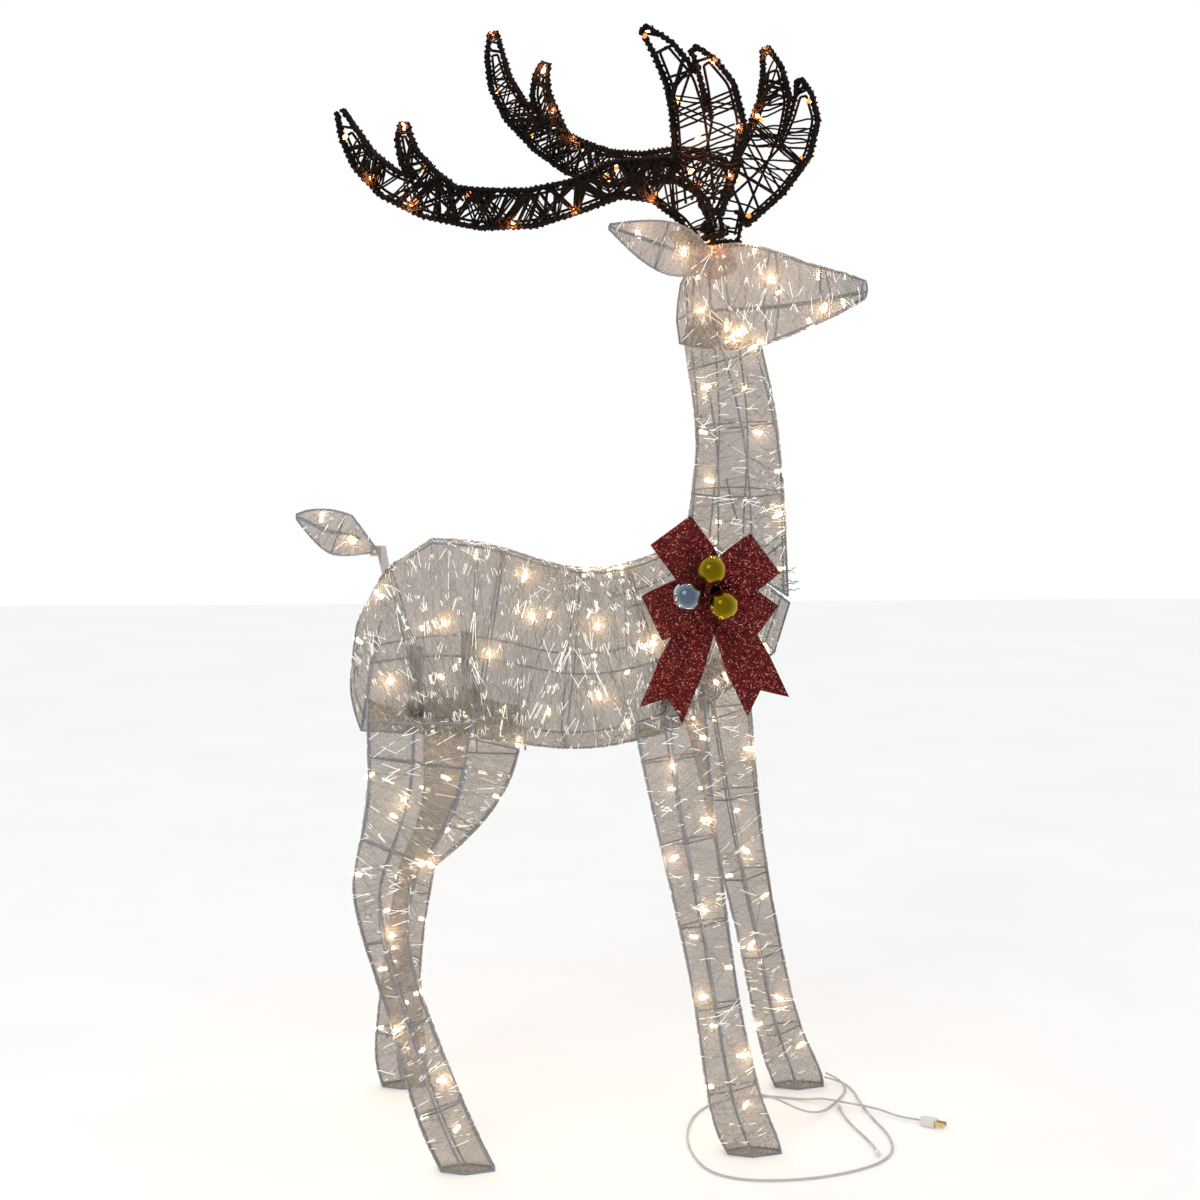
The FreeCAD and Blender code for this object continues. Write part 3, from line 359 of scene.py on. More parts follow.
WIRE = wire_material()
VEIL = veil_material()
THREAD = thread_material()
RATTAN = rattan_material()
WARM = glow_material("warm_core", (1.0, 0.62, 0.26), 34.0)
AMBER = glow_material("amber_core", (1.0, 0.38, 0.12), 22.0)
CLEAR = envelope_material("clear_lamp", (1.0, 0.96, 0.88), (1.0, 0.99, 0.95), (1.0, 0.80, 0.52), 1.6)
AMBER_GLASS = envelope_material("amber_lamp", (1.0, 0.45, 0.14), (1.0, 0.60, 0.26), (1.0, 0.30, 0.06), 1.1)
GLITTER = glitter_material()
# Each plating's three colours paint its reflection, from the deep middle of the ball to its bright edge.
GOLD = plated_material("gold_plating", (0.13, 0.095, 0.003), (0.42, 0.30, 0.02), (0.92, 0.68, 0.17))
SILVER = plated_material("silver_plating", (0.09, 0.12, 0.17), (0.36, 0.41, 0.47), (0.88, 0.90, 0.93))
LEAD = plastic_material("lead_cover", (0.36, 0.37, 0.38), (0.50, 0.51, 0.52), 0.35)
PLUG = plastic_material("plug_plastic", (0.60, 0.60, 0.58), (0.70, 0.70, 0.68), 0.5)
STEEL = metal_material("zinc_steel", (0.50, 0.51, 0.53), (0.66, 0.67, 0.69))
BRASS = metal_material("plug_brass", (0.60, 0.45, 0.20), (0.74, 0.58, 0.28))


# ---------------------------------------------------------------- mesh helpers

TINY = 1e-15


def units(vectors):
    """The rows of an array, each scaled to a length of one."""
    return vectors / (np.linalg.norm(vectors, axis=1, keepdims=True) + TINY)


def new_piece(name, points, faces, material, smooth=True):
    mesh = bpy.data.meshes.new(name)
    mesh.from_pydata([tuple(p) for p in points], [], faces)
    mesh.materials.append(material)
    if smooth:
        mesh.polygons.foreach_set("use_smooth", [True] * len(mesh.polygons))
    mesh.update()
    return new_object(name, mesh)


# A way that no tube here runs along, which a tube's first side is turned to.
ASLANT = (0.31, 0.17, 0.93)


class Build:
    """Points and faces gathered for one mesh."""

    def __init__(self):
        self.points = []
        self.faces = []

    def tube(self, path, radius, sides, closed, outward=None):
        """A tube along a path, its ends capped where the path is open."""
        path = np.asarray(path, float)
        count = len(path)
        radii = np.broadcast_to(np.asarray(radius, float), (count,))
        if closed:
            along = np.roll(path, -1, axis=0) - np.roll(path, 1, axis=0)
        else:
            along = np.gradient(path, axis=0)
        along = units(along)
        if outward is None:
            outward = np.tile(ASLANT, (count, 1))
        first = units(outward - along * np.sum(outward * along, axis=1, keepdims=True))
        second = np.cross(along, first)
        start = len(self.points)
        for k in range(sides):
            angle = 2 * math.pi * k / sides
            ring = path + (first * math.cos(angle) + second * math.sin(angle)) * radii[:, None]
            self.points.extend(ring.tolist())
        spans = count if closed else count - 1
        for i in range(spans):
            j = (i + 1) % count
            for k in range(sides):
                m = (k + 1) % sides
                self.faces.append((start + k * count + i, start + k * count + j,
                                   start + m * count + j, start + m * count + i))
        if not closed:
            self.faces.append([start + k * count for k in range(sides)][::-1])
            self.faces.append([start + k * count + count - 1 for k in range(sides)])

    def lathe(self, at, direction, profile, sides):
        """A turned shape: profile rows are (distance along, radius)."""
        turn = Vector(direction).to_track_quat("Z", "Y").to_matrix()
        start = len(self.points)
        for along, radius in profile:
            for k in range(sides):
                angle = 2 * math.pi * k / sides
                local = Vector((radius * math.cos(angle), radius * math.sin(angle), along))
                self.points.append(tuple(Vector(at) + turn @ local))
        for row in range(len(profile) - 1):
            for k in range(sides):
                m = (k + 1) % sides
                self.faces.append((start + row * sides + k, start + row * sides + m,
                                   start + (row + 1) * sides + m, start + (row + 1) * sides + k))
        self.faces.append([start + k for k in range(sides)][::-1])
        last = start + (len(profile) - 1) * sides
        self.faces.append([last + k for k in range(sides)])

    def piece(self, name, material):
        return new_piece(name, self.points, self.faces, material)


def welded(node):
    """A CAD node's points and triangles, with points that lie on each other made one."""
    mesh = frame["nodes"][node].data
    mesh.calc_loop_triangles()
    points = np.array([v.co for v in mesh.vertices], float)
    triangles = np.array([t.vertices for t in mesh.loop_triangles])
    _, first, index = np.unique(np.round(points, 6), axis=0, return_index=True, return_inverse=True)
    triangles = index.reshape(-1)[triangles]
    distinct = (triangles[:, 0] != triangles[:, 1]) & (triangles[:, 1] != triangles[:, 2]) & (
        triangles[:, 2] != triangles[:, 0])
    return points[first], triangles[distinct]


def tree_of(points, triangles):
    """A surface made ready for finding where lines meet it."""
    return BVHTree.FromPolygons([Vector(p) for p in points], triangles.tolist())


GOLDEN_TURN = 2.39996
LOOK_WAYS = 12
LOOKS_OUT = 3
LOOK_LEAN = math.radians(75)
LOOK_FROM = 1e-4
SMALLEST_FACE = 1e-12


def outer_shell(node):
    """The outer surface of a hollow CAD skin: the triangles from which enough lines get clear of it."""
    points, triangles = welded(node)
    tree = tree_of(points, triangles)
    kept = []
    for triangle in triangles:
        a, b, c = (Vector(points[i]) for i in triangle)
        normal = (b - a).cross(c - a)
        if normal.length < SMALLEST_FACE:
            continue
        normal.normalize()
        aside = normal.orthogonal().normalized()
        other = normal.cross(aside)
        start = (a + b + c) / 3 + normal * LOOK_FROM
        clear = 0
        for k in range(LOOK_WAYS):
            lean = LOOK_LEAN * math.sqrt(k / LOOK_WAYS)
            turn = k * GOLDEN_TURN
            sideways = aside * math.cos(turn) + other * math.sin(turn)
            way = normal * math.cos(lean) + sideways * math.sin(lean)
            clear += tree.ray_cast(start, way)[0] is None
        if clear >= LOOKS_OUT:
            kept.append(triangle)
    return points, np.array(kept)


PANEL_EDGE_ANGLE = 30
FLAT_ANGLE = math.radians(2)


def cover(node, meets=None, taper_to=None):
    """A section's skin as it looks: holes wound over, smooth outline, and its top rim on what it meets."""
    points, triangles = outer_shell(node)
    work = bmesh.new()
    corners = [work.verts.new(p) for p in points]
    for triangle in triangles:
        work.faces.new([corners[i] for i in triangle])
    loose = [v for v in work.verts if not v.link_faces]
    bmesh.ops.delete(work, geom=loose, context="VERTS")
    bmesh.ops.holes_fill(work, edges=[e for e in work.edges if e.is_boundary], sides=0)
    bmesh.ops.recalc_face_normals(work, faces=work.faces)
    bmesh.ops.dissolve_limit(work, angle_limit=FLAT_ANGLE, verts=work.verts, edges=work.edges)
    work.normal_update()
    if meets is not None:
        raise_rim(work, meets)
    if taper_to is not None:
        draw_in(work, Vector(taper_to))
    crease = work.edges.layers.float.new("crease_edge")
    for edge in work.edges:
        if not edge.is_manifold or edge.calc_face_angle(0) > math.radians(PANEL_EDGE_ANGLE):
            edge[crease] = 1.0
    mesh = bpy.data.meshes.new(node + "_cover")
    work.to_mesh(mesh)
    work.free()
    shape = new_object(node + "_cover", mesh)
    shape.modifiers.new("smooth", "SUBSURF").levels = 2
    bpy.context.view_layer.update()
    result = shape.evaluated_get(bpy.context.evaluated_depsgraph_get()).to_mesh()
    result.calc_loop_triangles()
    points = np.array([v.co for v in result.vertices], float)
    triangles = np.array([t.vertices for t in result.loop_triangles])
    bpy.data.objects.remove(shape)
    bpy.data.meshes.remove(mesh)
    return points, triangles


RIM_REACH = 0.06
RIM_LAP = 0.004
LID_DEPTH = 0.08
LID_LEVEL = 0.6
JUST_ABOVE = Vector((0, 0, 0.0005))


def raise_rim(work, meets):
    """Lifts a section's top face until it touches the section above it."""
    top = max(v.co.z for v in work.verts)
    lid_faces = [f for f in work.faces
                 if f.normal.z > LID_LEVEL and f.calc_center_median().z > top - LID_DEPTH]
    lid = {v for f in lid_faces for v in f.verts}
    rises = {}
    for corner in lid:
        hit = meets.ray_cast(corner.co + JUST_ABOVE, Vector((0, 0, 1)), RIM_REACH)[0]
        if hit is not None:
            rises[corner] = hit.z - corner.co.z + RIM_LAP
    if not rises:
        return
    usual = sorted(rises.values())[len(rises) // 2]
    for corner in lid:
        corner.co.z += rises.get(corner, usual)


DRAW_REACH = 0.022
DRAW_SHARE = 0.8


def draw_in(work, end):
    """Draws the end of a section that is nearest to a point in to that point."""
    near = min((v.co - end).length for v in work.verts)
    for corner in work.verts:
        gap = (corner.co - end).length
        if gap < near + DRAW_REACH:
            corner.co = corner.co.lerp(end, DRAW_SHARE)


# The cosine above which two steps of a path count as straight on.
STRAIGHT = 0.9994
SMALLEST_STEP = 1e-14


def straightened(path, closed):
    """The path without the points that lie on its straight stretches."""
    count = len(path)
    kept = []
    for i in range(count):
        if not closed and i in (0, count - 1):
            kept.append(i)
            continue
        back = path[i] - path[i - 1]
        ahead = path[(i + 1) % count] - path[i]
        size = np.linalg.norm(back) * np.linalg.norm(ahead)
        if size < SMALLEST_STEP or np.dot(back, ahead) / size < STRAIGHT:
            kept.append(i)
    return path[kept]


def plane_loops(points, triangles, at, normal):
    """The lines where a plane cuts a surface, as (path, closed)."""
    side = (points - at) @ normal
    sides = side[triangles]
    crossing = (sides.min(axis=1) < 0) & (sides.max(axis=1) >= 0)
    links, places = {}, {}
    for triangle in triangles[crossing]:
        ends = []
        for a, b in ((0, 1), (1, 2), (2, 0)):
            i, j = int(triangle[a]), int(triangle[b])
            if (side[i] < 0) != (side[j] < 0):
                key = (min(i, j), max(i, j))
                places[key] = points[i] + (points[j] - points[i]) * (side[i] / (side[i] - side[j]))
                ends.append(key)
        if len(ends) == 2:
            links.setdefault(ends[0], []).append(ends[1])
            links.setdefault(ends[1], []).append(ends[0])
    loops, used = [], set()
    for start in sorted(links, key=lambda k: len(links[k])):
        if start in used:
            continue
        chain, here = [start], start
        used.add(start)
        while True:
            following = [k for k in links[here] if k not in used]
            if not following:
                break
            here = following[0]
            used.add(here)
            chain.append(here)
        closed = len(chain) > 3 and start in links[here]
        loops.append((np.array([places[k] for k in chain]), closed))
    return loops


def away_from_middle(path):
    """For each point of a loop, the way out from the loop's middle."""
    return units(path - path.mean(axis=0))


def place_on(line, along):
    """A point on a line of points and the line's way there; along counts the line's points."""
    k = min(int(along), len(line) - 2)
    step = line[k + 1] - line[k]
    return line[k] + step * (along - k), step


def length_of(path, closed):
    """The length of a path, and of its last step home where it is closed."""
    steps = np.diff(np.vstack([path, path[:1]]) if closed else path, axis=0)
    return float(np.linalg.norm(steps, axis=1).sum())


def tilted(axis, degrees, turn):
    """The axis leaned over by some degrees, towards the side that turn gives."""
    axis = Vector(axis).normalized()
    aside = axis.orthogonal().normalized()
    aside.rotate(Matrix.Rotation(turn, 3, axis))
    lean = math.radians(degrees)
    return np.array(axis * math.cos(lean) + aside * math.sin(lean))


# ---------------------------------------------------------------- thread skins

THREAD_RADIUS = 0.00040
THREAD_SIDES = 3
THREAD_GAP = 0.0007
LINE_STEPS = 12


def body_name(node):
    """The CAD body that a node belongs to."""
    return frame["nodes"][node]["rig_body"]


def centre_line(points, triangles, ends, steps):
    """Centres of the cuts across a section between its two ends."""
    start, end = (Vector(e) for e in ends)
    axis = (end - start).normalized()
    line = []
    for i in range(steps):
        at = start.lerp(end, (i + 0.5) / steps)
        loops = [l for l in plane_loops(points, triangles, np.array(at), np.array(axis)) if len(l[0]) > 3]
        if loops:
            path = max(loops, key=lambda l: length_of(*l))[0]
            line.append((path.min(axis=0) + path.max(axis=0)) / 2)
    return line


def wind(points, triangles, line, turns, lean, longest):
    """Turns of thread round a section: each is the line where a leaning plane cuts its skin."""
    build = Build()
    for _ in range(turns):
        at, axis = place_on(line, random.uniform(-0.4, len(line) - 0.6))
        normal = tilted(axis, random.uniform(*lean), random.uniform(0, 2 * math.pi))
        stand = THREAD_GAP * random.uniform(0.5, 1.8)
        for path, closed in plane_loops(points, triangles, at, normal):
            if len(path) < 3 or length_of(path, closed) > longest:
                continue
            path = straightened(path, closed)
            if len(path) < 3:
                continue
            outward = away_from_middle(path)
            radius = THREAD_RADIUS * random.uniform(0.8, 1.25)
            build.tube(path + outward * stand, radius, THREAD_SIDES, closed, outward)
    return build


# Sections: name, turns of thread, how far they lean in degrees, longest turn, lamps, ring wires.
SECTIONS = [
    ("body", 520, (8, 40), 1.50, 34, 5),
    ("neck", 200, (8, 40), 0.80, 12, 4),
    ("head", 150, (8, 40), 0.80, 11, 3),
    ("near_hind_leg", 230, (10, 42), 0.80, 15, 5),
    ("far_hind_leg", 230, (10, 42), 0.80, 13, 5),
    ("near_front_leg", 220, (10, 42), 0.80, 14, 5),
    ("far_front_leg", 220, (10, 42), 0.80, 13, 5),
    ("near_ear", 50, (8, 35), 0.40, 2, 1),
    ("far_ear", 50, (8, 35), 0.40, 2, 1),
    ("tail", 40, (8, 35), 0.40, 2, 1),
]
TAIL_ROOT = (-0.262, -0.061, 0.788)
END_DEPTH = 0.015


def section_ends(name, points):
    """The two ends of a section's long way, found from its own skin."""
    middle = points.mean(axis=0)
    if name == "body":
        axis = np.array([1.0, 0.0, 0.0])
    elif name == "neck" or name.endswith("leg"):
        axis = np.array([0.0, 0.0, 1.0])
    else:
        axis = np.linalg.svd(points - middle, full_matrices=False)[2][0]
    reach = (points - middle) @ axis
    low = points[reach < reach.min() + END_DEPTH].mean(axis=0)
    high = points[reach > reach.max() - END_DEPTH].mean(axis=0)
    return low, high


WIRE_RADIUS = 0.0014
RING_RADIUS = 0.00119
WIRE_INSET = 0.0014
SHORTEST_WIRE = 0.05


def add_wires(name, body, points, triangles, line, rings):
    """The wires that the thread is wound on: one in each panel edge, and rings across the section."""
    build = Build()
    for edge in sharp_edges(points, triangles, PANEL_EDGE_ANGLE):
        if length_of(edge, False) > SHORTEST_WIRE:
            build.tube(inset(edge, line), WIRE_RADIUS, 7, False)
    for i in range(rings):
        at, axis = place_on(line, (i + 0.5) / rings * (len(line) - 1))
        loops = [l for l in plane_loops(points, triangles, at, axis) if l[1]]
        if loops:
            ring = max(loops, key=lambda l: length_of(*l))[0]
            build.tube(inset(straightened(ring, True), [at]), RING_RADIUS, 6, True)
    wires = build.piece(name + "_wires", WIRE)
    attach(wires, body)
    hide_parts(name + "_frame")


def inset(path, line):
    """A path moved in from the skin, towards the nearest of the section's middle points."""
    middles = np.asarray(line)
    nearest = middles[np.argmin(np.linalg.norm(path[:, None] - middles[None], axis=2), axis=1)]
    return path + units(nearest - path) * WIRE_INSET


@cache
def section_cover(name):
    """The section's cover, reaching up to the section that it joins."""
    meets = None
    if name.endswith("leg"):
        meets = tree_of(*section_cover("body"))
    if name == "neck":
        meets = tree_of(*section_cover("head"))
    return cover(name + "_thread_skin", meets, TAIL_ROOT if name == "tail" else None)


def add_section(name, turns, lean, longest, lamps, rings):
    """A section's wires, veil and thread windings, and its lamps."""
    node = name + "_thread_skin"
    body = body_name(node)
    points, triangles = section_cover(name)
    line = centre_line(points, triangles, section_ends(name, points), LINE_STEPS)
    add_wires(name, body, points, triangles, line, rings)
    veil = new_piece(name + "_thread_veil", points, triangles.tolist(), VEIL, smooth=False)
    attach(veil, body)
    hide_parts(node)
    windings = wind(points, triangles, line, turns, lean, longest).piece(name + "_thread_windings", THREAD)
    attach(windings, body)
    spots = lamp_spots(tree_of(points, triangles), line, lamps)
    add_lamps(name, body, spots, CLEAR, WARM, WARM_LIGHT, WARM_POWER)


# ---------------------------------------------------------------- lamps

# A mini lamp from its foot to its tip: distance along and radius.
LAMP_PROFILE = [
    (-0.0100, 0.0010), (-0.0100, 0.0026), (-0.0035, 0.0030), (-0.0030, 0.0024),
    (0.0020, 0.0025), (0.0048, 0.0019), (0.0060, 0.0006),
]
LAMP_SIDES = 10
LAMP_CORE = [(-0.0020, 0.0004), (-0.0012, 0.0016), (0.0016, 0.0017), (0.0030, 0.0010), (0.0036, 0.0003)]
CORE_SIDES = 8
LAMP_STRAIGHT_OUT = 0.6
LAMP_FOOT = 0.010
GLOW_AHEAD = 0.011
GLOW_RADIUS = 0.002
STRING_RADIUS = 0.0008
WARM_LIGHT = (1.0, 0.66, 0.33)
WARM_POWER = 0.03
AMBER_LIGHT = (1.0, 0.36, 0.10)
AMBER_POWER = 0.10


def lamp_spots(tree, line, count):
    """Spots spread round a section's skin, each with the way out of it."""
    spots = []
    for i in range(count):
        at, axis = place_on(line, (i + 0.5) / count * (len(line) - 1))
        turn = i * GOLDEN_TURN + random.uniform(-0.4, 0.4)
        way = Vector(tilted(axis, random.uniform(70, 110), turn))
        hit, normal, _, _ = tree.ray_cast(Vector(at), way)
        if hit is not None:
            spots.append((hit, (way + normal * LAMP_STRAIGHT_OUT).normalized()))
    return spots


def add_lamps(name, body, spots, glass, core, colour, power, joined=True):
    """The lamps of a section with their lit cores, and the string that joins them inside."""
    clear, lit = Build(), Build()
    for at, way in spots:
        clear.lathe(at, way, LAMP_PROFILE, LAMP_SIDES)
        lit.lathe(at, way, LAMP_CORE, CORE_SIDES)
    lamps = clear.piece(name + "_lamps", glass)
    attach(lamps, body)
    if name + "_light_string" in frame["nodes"]:
        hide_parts(name + "_light_string")
    cores = lit.piece(name + "_lamp_cores", core)
    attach(cores, body)
    for i, (at, way) in enumerate(spots):
        data = bpy.data.lights.new("%s_glow_%d" % (name, i), "POINT")
        data.energy = power
        data.color = colour
        data.shadow_soft_size = GLOW_RADIUS
        light = new_object(data.name, data)
        light.location = at + way * GLOW_AHEAD
        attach(light, body)
    if joined and len(spots) > 2:
        string = Build()
        feet = [at - way * LAMP_FOOT for at, way in spots]
        string.tube(feet, STRING_RADIUS, 5, False)
        piece = string.piece(name + "_lamp_string", LEAD)
        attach(piece, body)


# ---------------------------------------------------------------- antlers

RATTAN_RADIUS = 0.0014
RIM_RADIUS = 0.0028
RIM_ANGLE = 42
STRIP_RADIUS = 0.0017
ANTLER_LAMPS = 18
ANTLER_TURNS = 210
LONGEST_TURN = 0.24


def sharp_edges(points, triangles, angle):
    """Outer edges where a surface turns by more than an angle, chained into lines."""
    corners = points[triangles]
    normals = units(np.cross(corners[:, 1] - corners[:, 0], corners[:, 2] - corners[:, 0]))
    middles = corners.mean(axis=1)
    owners = {}
    for f, triangle in enumerate(triangles):
        for a, b in ((0, 1), (1, 2), (2, 0)):
            i, j = int(triangle[a]), int(triangle[b])
            owners.setdefault((min(i, j), max(i, j)), []).append(f)
    links = {}
    for (i, j), faces in owners.items():
        if len(faces) != 2:
            continue
        f, g = faces
        bend = float(np.dot(normals[f], normals[g]))
        convex = float(np.dot(normals[f], middles[g] - middles[f])) < 0
        if bend < math.cos(math.radians(angle)) and convex:
            links.setdefault(i, []).append(j)
            links.setdefault(j, []).append(i)
    return chains(points, links)


# The cosine of the sharpest bend that a line follows.
SHARPEST_BEND = 0.3


def chains(points, links):
    """Lines that follow linked points, each one on by the way that bends least."""
    used, lines = set(), []
    for start in sorted(links, key=lambda k: (len(links[k]) != 1, k)):
        for first in links[start]:
            edge = (min(start, first), max(start, first))
            if edge in used:
                continue
            used.add(edge)
            chain = [start, first]
            while True:
                here, before = chain[-1], chain[-2]
                back = points[here] - points[before]
                best, best_turn = None, SHARPEST_BEND
                for following in links[here]:
                    edge = (min(here, following), max(here, following))
                    ahead = points[following] - points[here]
                    size = np.linalg.norm(back) * np.linalg.norm(ahead) + TINY
                    turn = np.dot(back, ahead) / size
                    if edge not in used and turn > best_turn:
                        best, best_turn = following, turn
                if best is None:
                    break
                used.add((min(here, best), max(here, best)))
                chain.append(best)
            lines.append(points[chain])
    return lines


def spaced(path, step):
    """The path with even steps."""
    lengths = np.linalg.norm(np.diff(path, axis=0), axis=1)
    reach = np.concatenate([[0], np.cumsum(lengths)])
    along = np.linspace(0, reach[-1], max(4, int(reach[-1] / step)))
    return np.stack([np.interp(along, reach, path[:, k]) for k in range(3)], axis=1)


POINTS_PER_TURN = 8
COIL_START = (0.2, 0.9, 0.3)


def coiled(path, radius, pitch):
    """A strip bound round a rim: a helix whose radius and pitch are a little uneven."""
    middle = spaced(path, pitch / POINTS_PER_TURN)
    count = len(middle)
    tangent = units(np.gradient(middle, axis=0))
    aside = units(np.cross(tangent, COIL_START))
    other = np.cross(tangent, aside)
    angle = np.cumsum([random.uniform(0.4, 1.6) for _ in range(count)]) * (2 * math.pi / POINTS_PER_TURN)
    swell = radius * np.array([random.uniform(0.75, 1.3) for _ in range(count)])
    return middle + (aside * np.cos(angle)[:, None] + other * np.sin(angle)[:, None]) * swell[:, None]


def spread_spots(points, count):
    """Points of a surface as far from each other as they can be, one after the other."""
    chosen = [points[np.argmax(points[:, 2])]]
    gaps = np.linalg.norm(points - chosen[0], axis=1)
    while len(chosen) < count:
        chosen.append(points[np.argmax(gaps)])
        gaps = np.minimum(gaps, np.linalg.norm(points - chosen[-1], axis=1))
    return chosen


# How far round a spot the antler is looked at to find which way its tine runs.
NEAR = 0.045


def antler_windings(points, triangles, spots, flat):
    """Strips that cross an antler from rim to rim, leaning both ways."""
    build = Build()
    for _ in range(ANTLER_TURNS):
        at = spots[random.randrange(len(spots))]
        around = spots[np.linalg.norm(spots - at, axis=1) < NEAR]
        around = around - around.mean(axis=0)
        way = np.linalg.svd(around, full_matrices=False)[2][0]
        lean = math.radians(random.uniform(18, 48)) * random.choice((-1, 1))
        normal = way * math.cos(lean) + np.cross(flat, way) * math.sin(lean)
        here = [l for l in plane_loops(points, triangles, at, normal)
                if l[1] and length_of(*l) < LONGEST_TURN and len(l[0]) > 3]
        if not here:
            continue
        nearest = min(here, key=lambda l: np.linalg.norm(l[0] - at, axis=1).min())[0]
        path = straightened(nearest, True)
        if len(path) < 4:
            continue
        outward = away_from_middle(path)
        path = path + outward * random.uniform(-0.0010, 0.0008)
        build.tube(path, RATTAN_RADIUS * random.uniform(0.8, 1.2), 4, True, outward)
    return build


SHORTEST_RIM = 0.03
RIM_STEP = 0.004
STRIP_PITCH = 0.0075


def antler_binding(points, triangles):
    """The bound rims along both edges of every tine."""
    build = Build()
    for edge in sharp_edges(points, triangles, RIM_ANGLE):
        if length_of(edge, False) < SHORTEST_RIM:
            continue
        path = spaced(edge, RIM_STEP)
        swell = [RIM_RADIUS * random.uniform(0.75, 1.25) for _ in path]
        build.tube(path, swell, 6, False)
        build.tube(coiled(edge, RIM_RADIUS, STRIP_PITCH), STRIP_RADIUS, 4, False)
    return build


SURFACE_POINTS = 5000
ON_A_SIDE = 0.8
LAMP_SUNK = 0.005


def add_antler(name):
    """An antler's windings, bound rims and amber lamps over its wire frame."""
    node = name + "_antler_rattan"
    body = body_name(node)
    points, triangles = outer_shell(node)
    flat = np.linalg.svd(points - points.mean(axis=0), full_matrices=False)[2][2]
    even = surface_points(points, triangles, SURFACE_POINTS)
    windings = antler_windings(points, triangles, even, flat).piece(name + "_antler_windings", RATTAN)
    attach(windings, body)
    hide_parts(node)
    binding = antler_binding(points, triangles).piece(name + "_antler_binding", RATTAN)
    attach(binding, body)
    tree = tree_of(points, triangles)
    faces = [tree.find_nearest(Vector(p))[:2] for p in even]
    broad = np.array([place for place, normal in faces if abs(normal.dot(Vector(flat))) > ON_A_SIDE])
    spots = []
    for place in spread_spots(broad, ANTLER_LAMPS):
        hit, normal, _, _ = tree.find_nearest(Vector(place))
        spots.append((hit - normal * LAMP_SUNK, normal))
    add_lamps(name + "_antler", body, spots, AMBER_GLASS, AMBER, AMBER_LIGHT, AMBER_POWER, False)


def surface_points(points, triangles, count):
    """Points spread evenly over a surface."""
    corners = points[triangles]
    areas = np.linalg.norm(np.cross(corners[:, 1] - corners[:, 0], corners[:, 2] - corners[:, 0]), axis=1)
    chances = np.cumsum(areas) / areas.sum()
    spots = []
    for _ in range(count):
        a, b, c = corners[min(np.searchsorted(chances, random.random()), len(corners) - 1)]
        u, v = sorted((random.random(), random.random()))
        spots.append(a * u + b * (v - u) + c * (1 - v))
    return np.array(spots)


# ---------------------------------------------------------------- bow and balls

RIBBON_WIDTH = 0.064
RIBBON_THICKNESS = 0.0007
RIBBON_STEPS_ACROSS = 12
LOOP_STEPS = 44
LOOP_FIRST = 0.010
LOOP_WALL = 0.0012
LOOP_RIPPLE = 0.0012
STREAMER_STEPS = 40
STREAMER_START = 0.020
STREAMER_NOTCH = 0.024
STREAMER_SHORT = 0.004
STREAMER_WAVE = 0.0016


def middle_of(node):
    low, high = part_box(node)
    return (low + high) / 2


def grid_piece(name, rows, material, thickness):
    """A sheet from rows of points, given a thickness."""
    across = len(rows[0])
    points = [p for row in rows for p in row]
    faces = []
    for i in range(len(rows) - 1):
        for j in range(across - 1):
            a = i * across + j
            faces.append((a, a + 1, a + across + 1, a + across))
    piece = new_piece(name, points, faces, material)
    solid = piece.modifiers.new("thickness", "SOLIDIFY")
    solid.thickness = thickness
    solid.offset = 0
    return piece


def ribbon_axes(node, centre):
    """The way a ribbon runs from the knot, across it, and how far it reaches."""
    run = middle_of(node) - centre
    run.y = 0
    run.normalize()
    across = Vector((-run.z, 0, run.x))
    points = frame["nodes"][node].data.vertices
    reach = max((v.co - centre).dot(run) for v in points)
    return run, across, reach


KNOT_SHARE = 0.42
PINCH_REACH = 0.45


def pinch(distance, reach):
    """How much of its width a ribbon has at a distance from the knot."""
    share = min(1.0, max(0.0, distance / (PINCH_REACH * reach)))
    return KNOT_SHARE + (1 - KNOT_SHARE) * share * share * (3 - 2 * share)


def across_steps():
    """Places across a ribbon, from -1 at one edge to 1 at the other."""
    return [2 * j / RIBBON_STEPS_ACROSS - 1 for j in range(RIBBON_STEPS_ACROSS + 1)]


def ribbon_loop(node, seed):
    """A ribbon doubled back on itself: out in front, round a soft fold, and back behind."""
    centre = middle_of("bow_centre_tie")
    run, across, reach = ribbon_axes(node, centre)
    low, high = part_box(node)
    layer, depth = 0.5 * (low.y + high.y), 0.5 * (high.y - low.y) - LOOP_WALL
    rows = []
    for i in range(LOOP_STEPS + 1):
        share = i / LOOP_STEPS
        angle = math.pi * share
        distance = reach * math.sin(angle) ** 0.42 * (0.985 if share < 0.5 else 0.97)
        distance = max(distance, LOOP_FIRST)
        swell = math.sin(min(1.0, distance / reach) * math.pi * 0.62)
        front = math.cos(angle) * (0.35 + 0.65 * swell)
        half = 0.5 * RIBBON_WIDTH * pinch(distance, reach)
        row = []
        for side in across_steps():
            ripple = LOOP_RIPPLE * math.sin(5.0 * side + seed + 60 * distance) * (1 - 0.5 * share)
            point = centre + run * distance + across * (half * side)
            point.y = layer - depth * front * 0.95 + ripple
            row.append(point)
        rows.append(row)
    piece = grid_piece(node + "_ribbon", rows, GLITTER, RIBBON_THICKNESS)
    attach(piece, "deer_body")
    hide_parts(node)


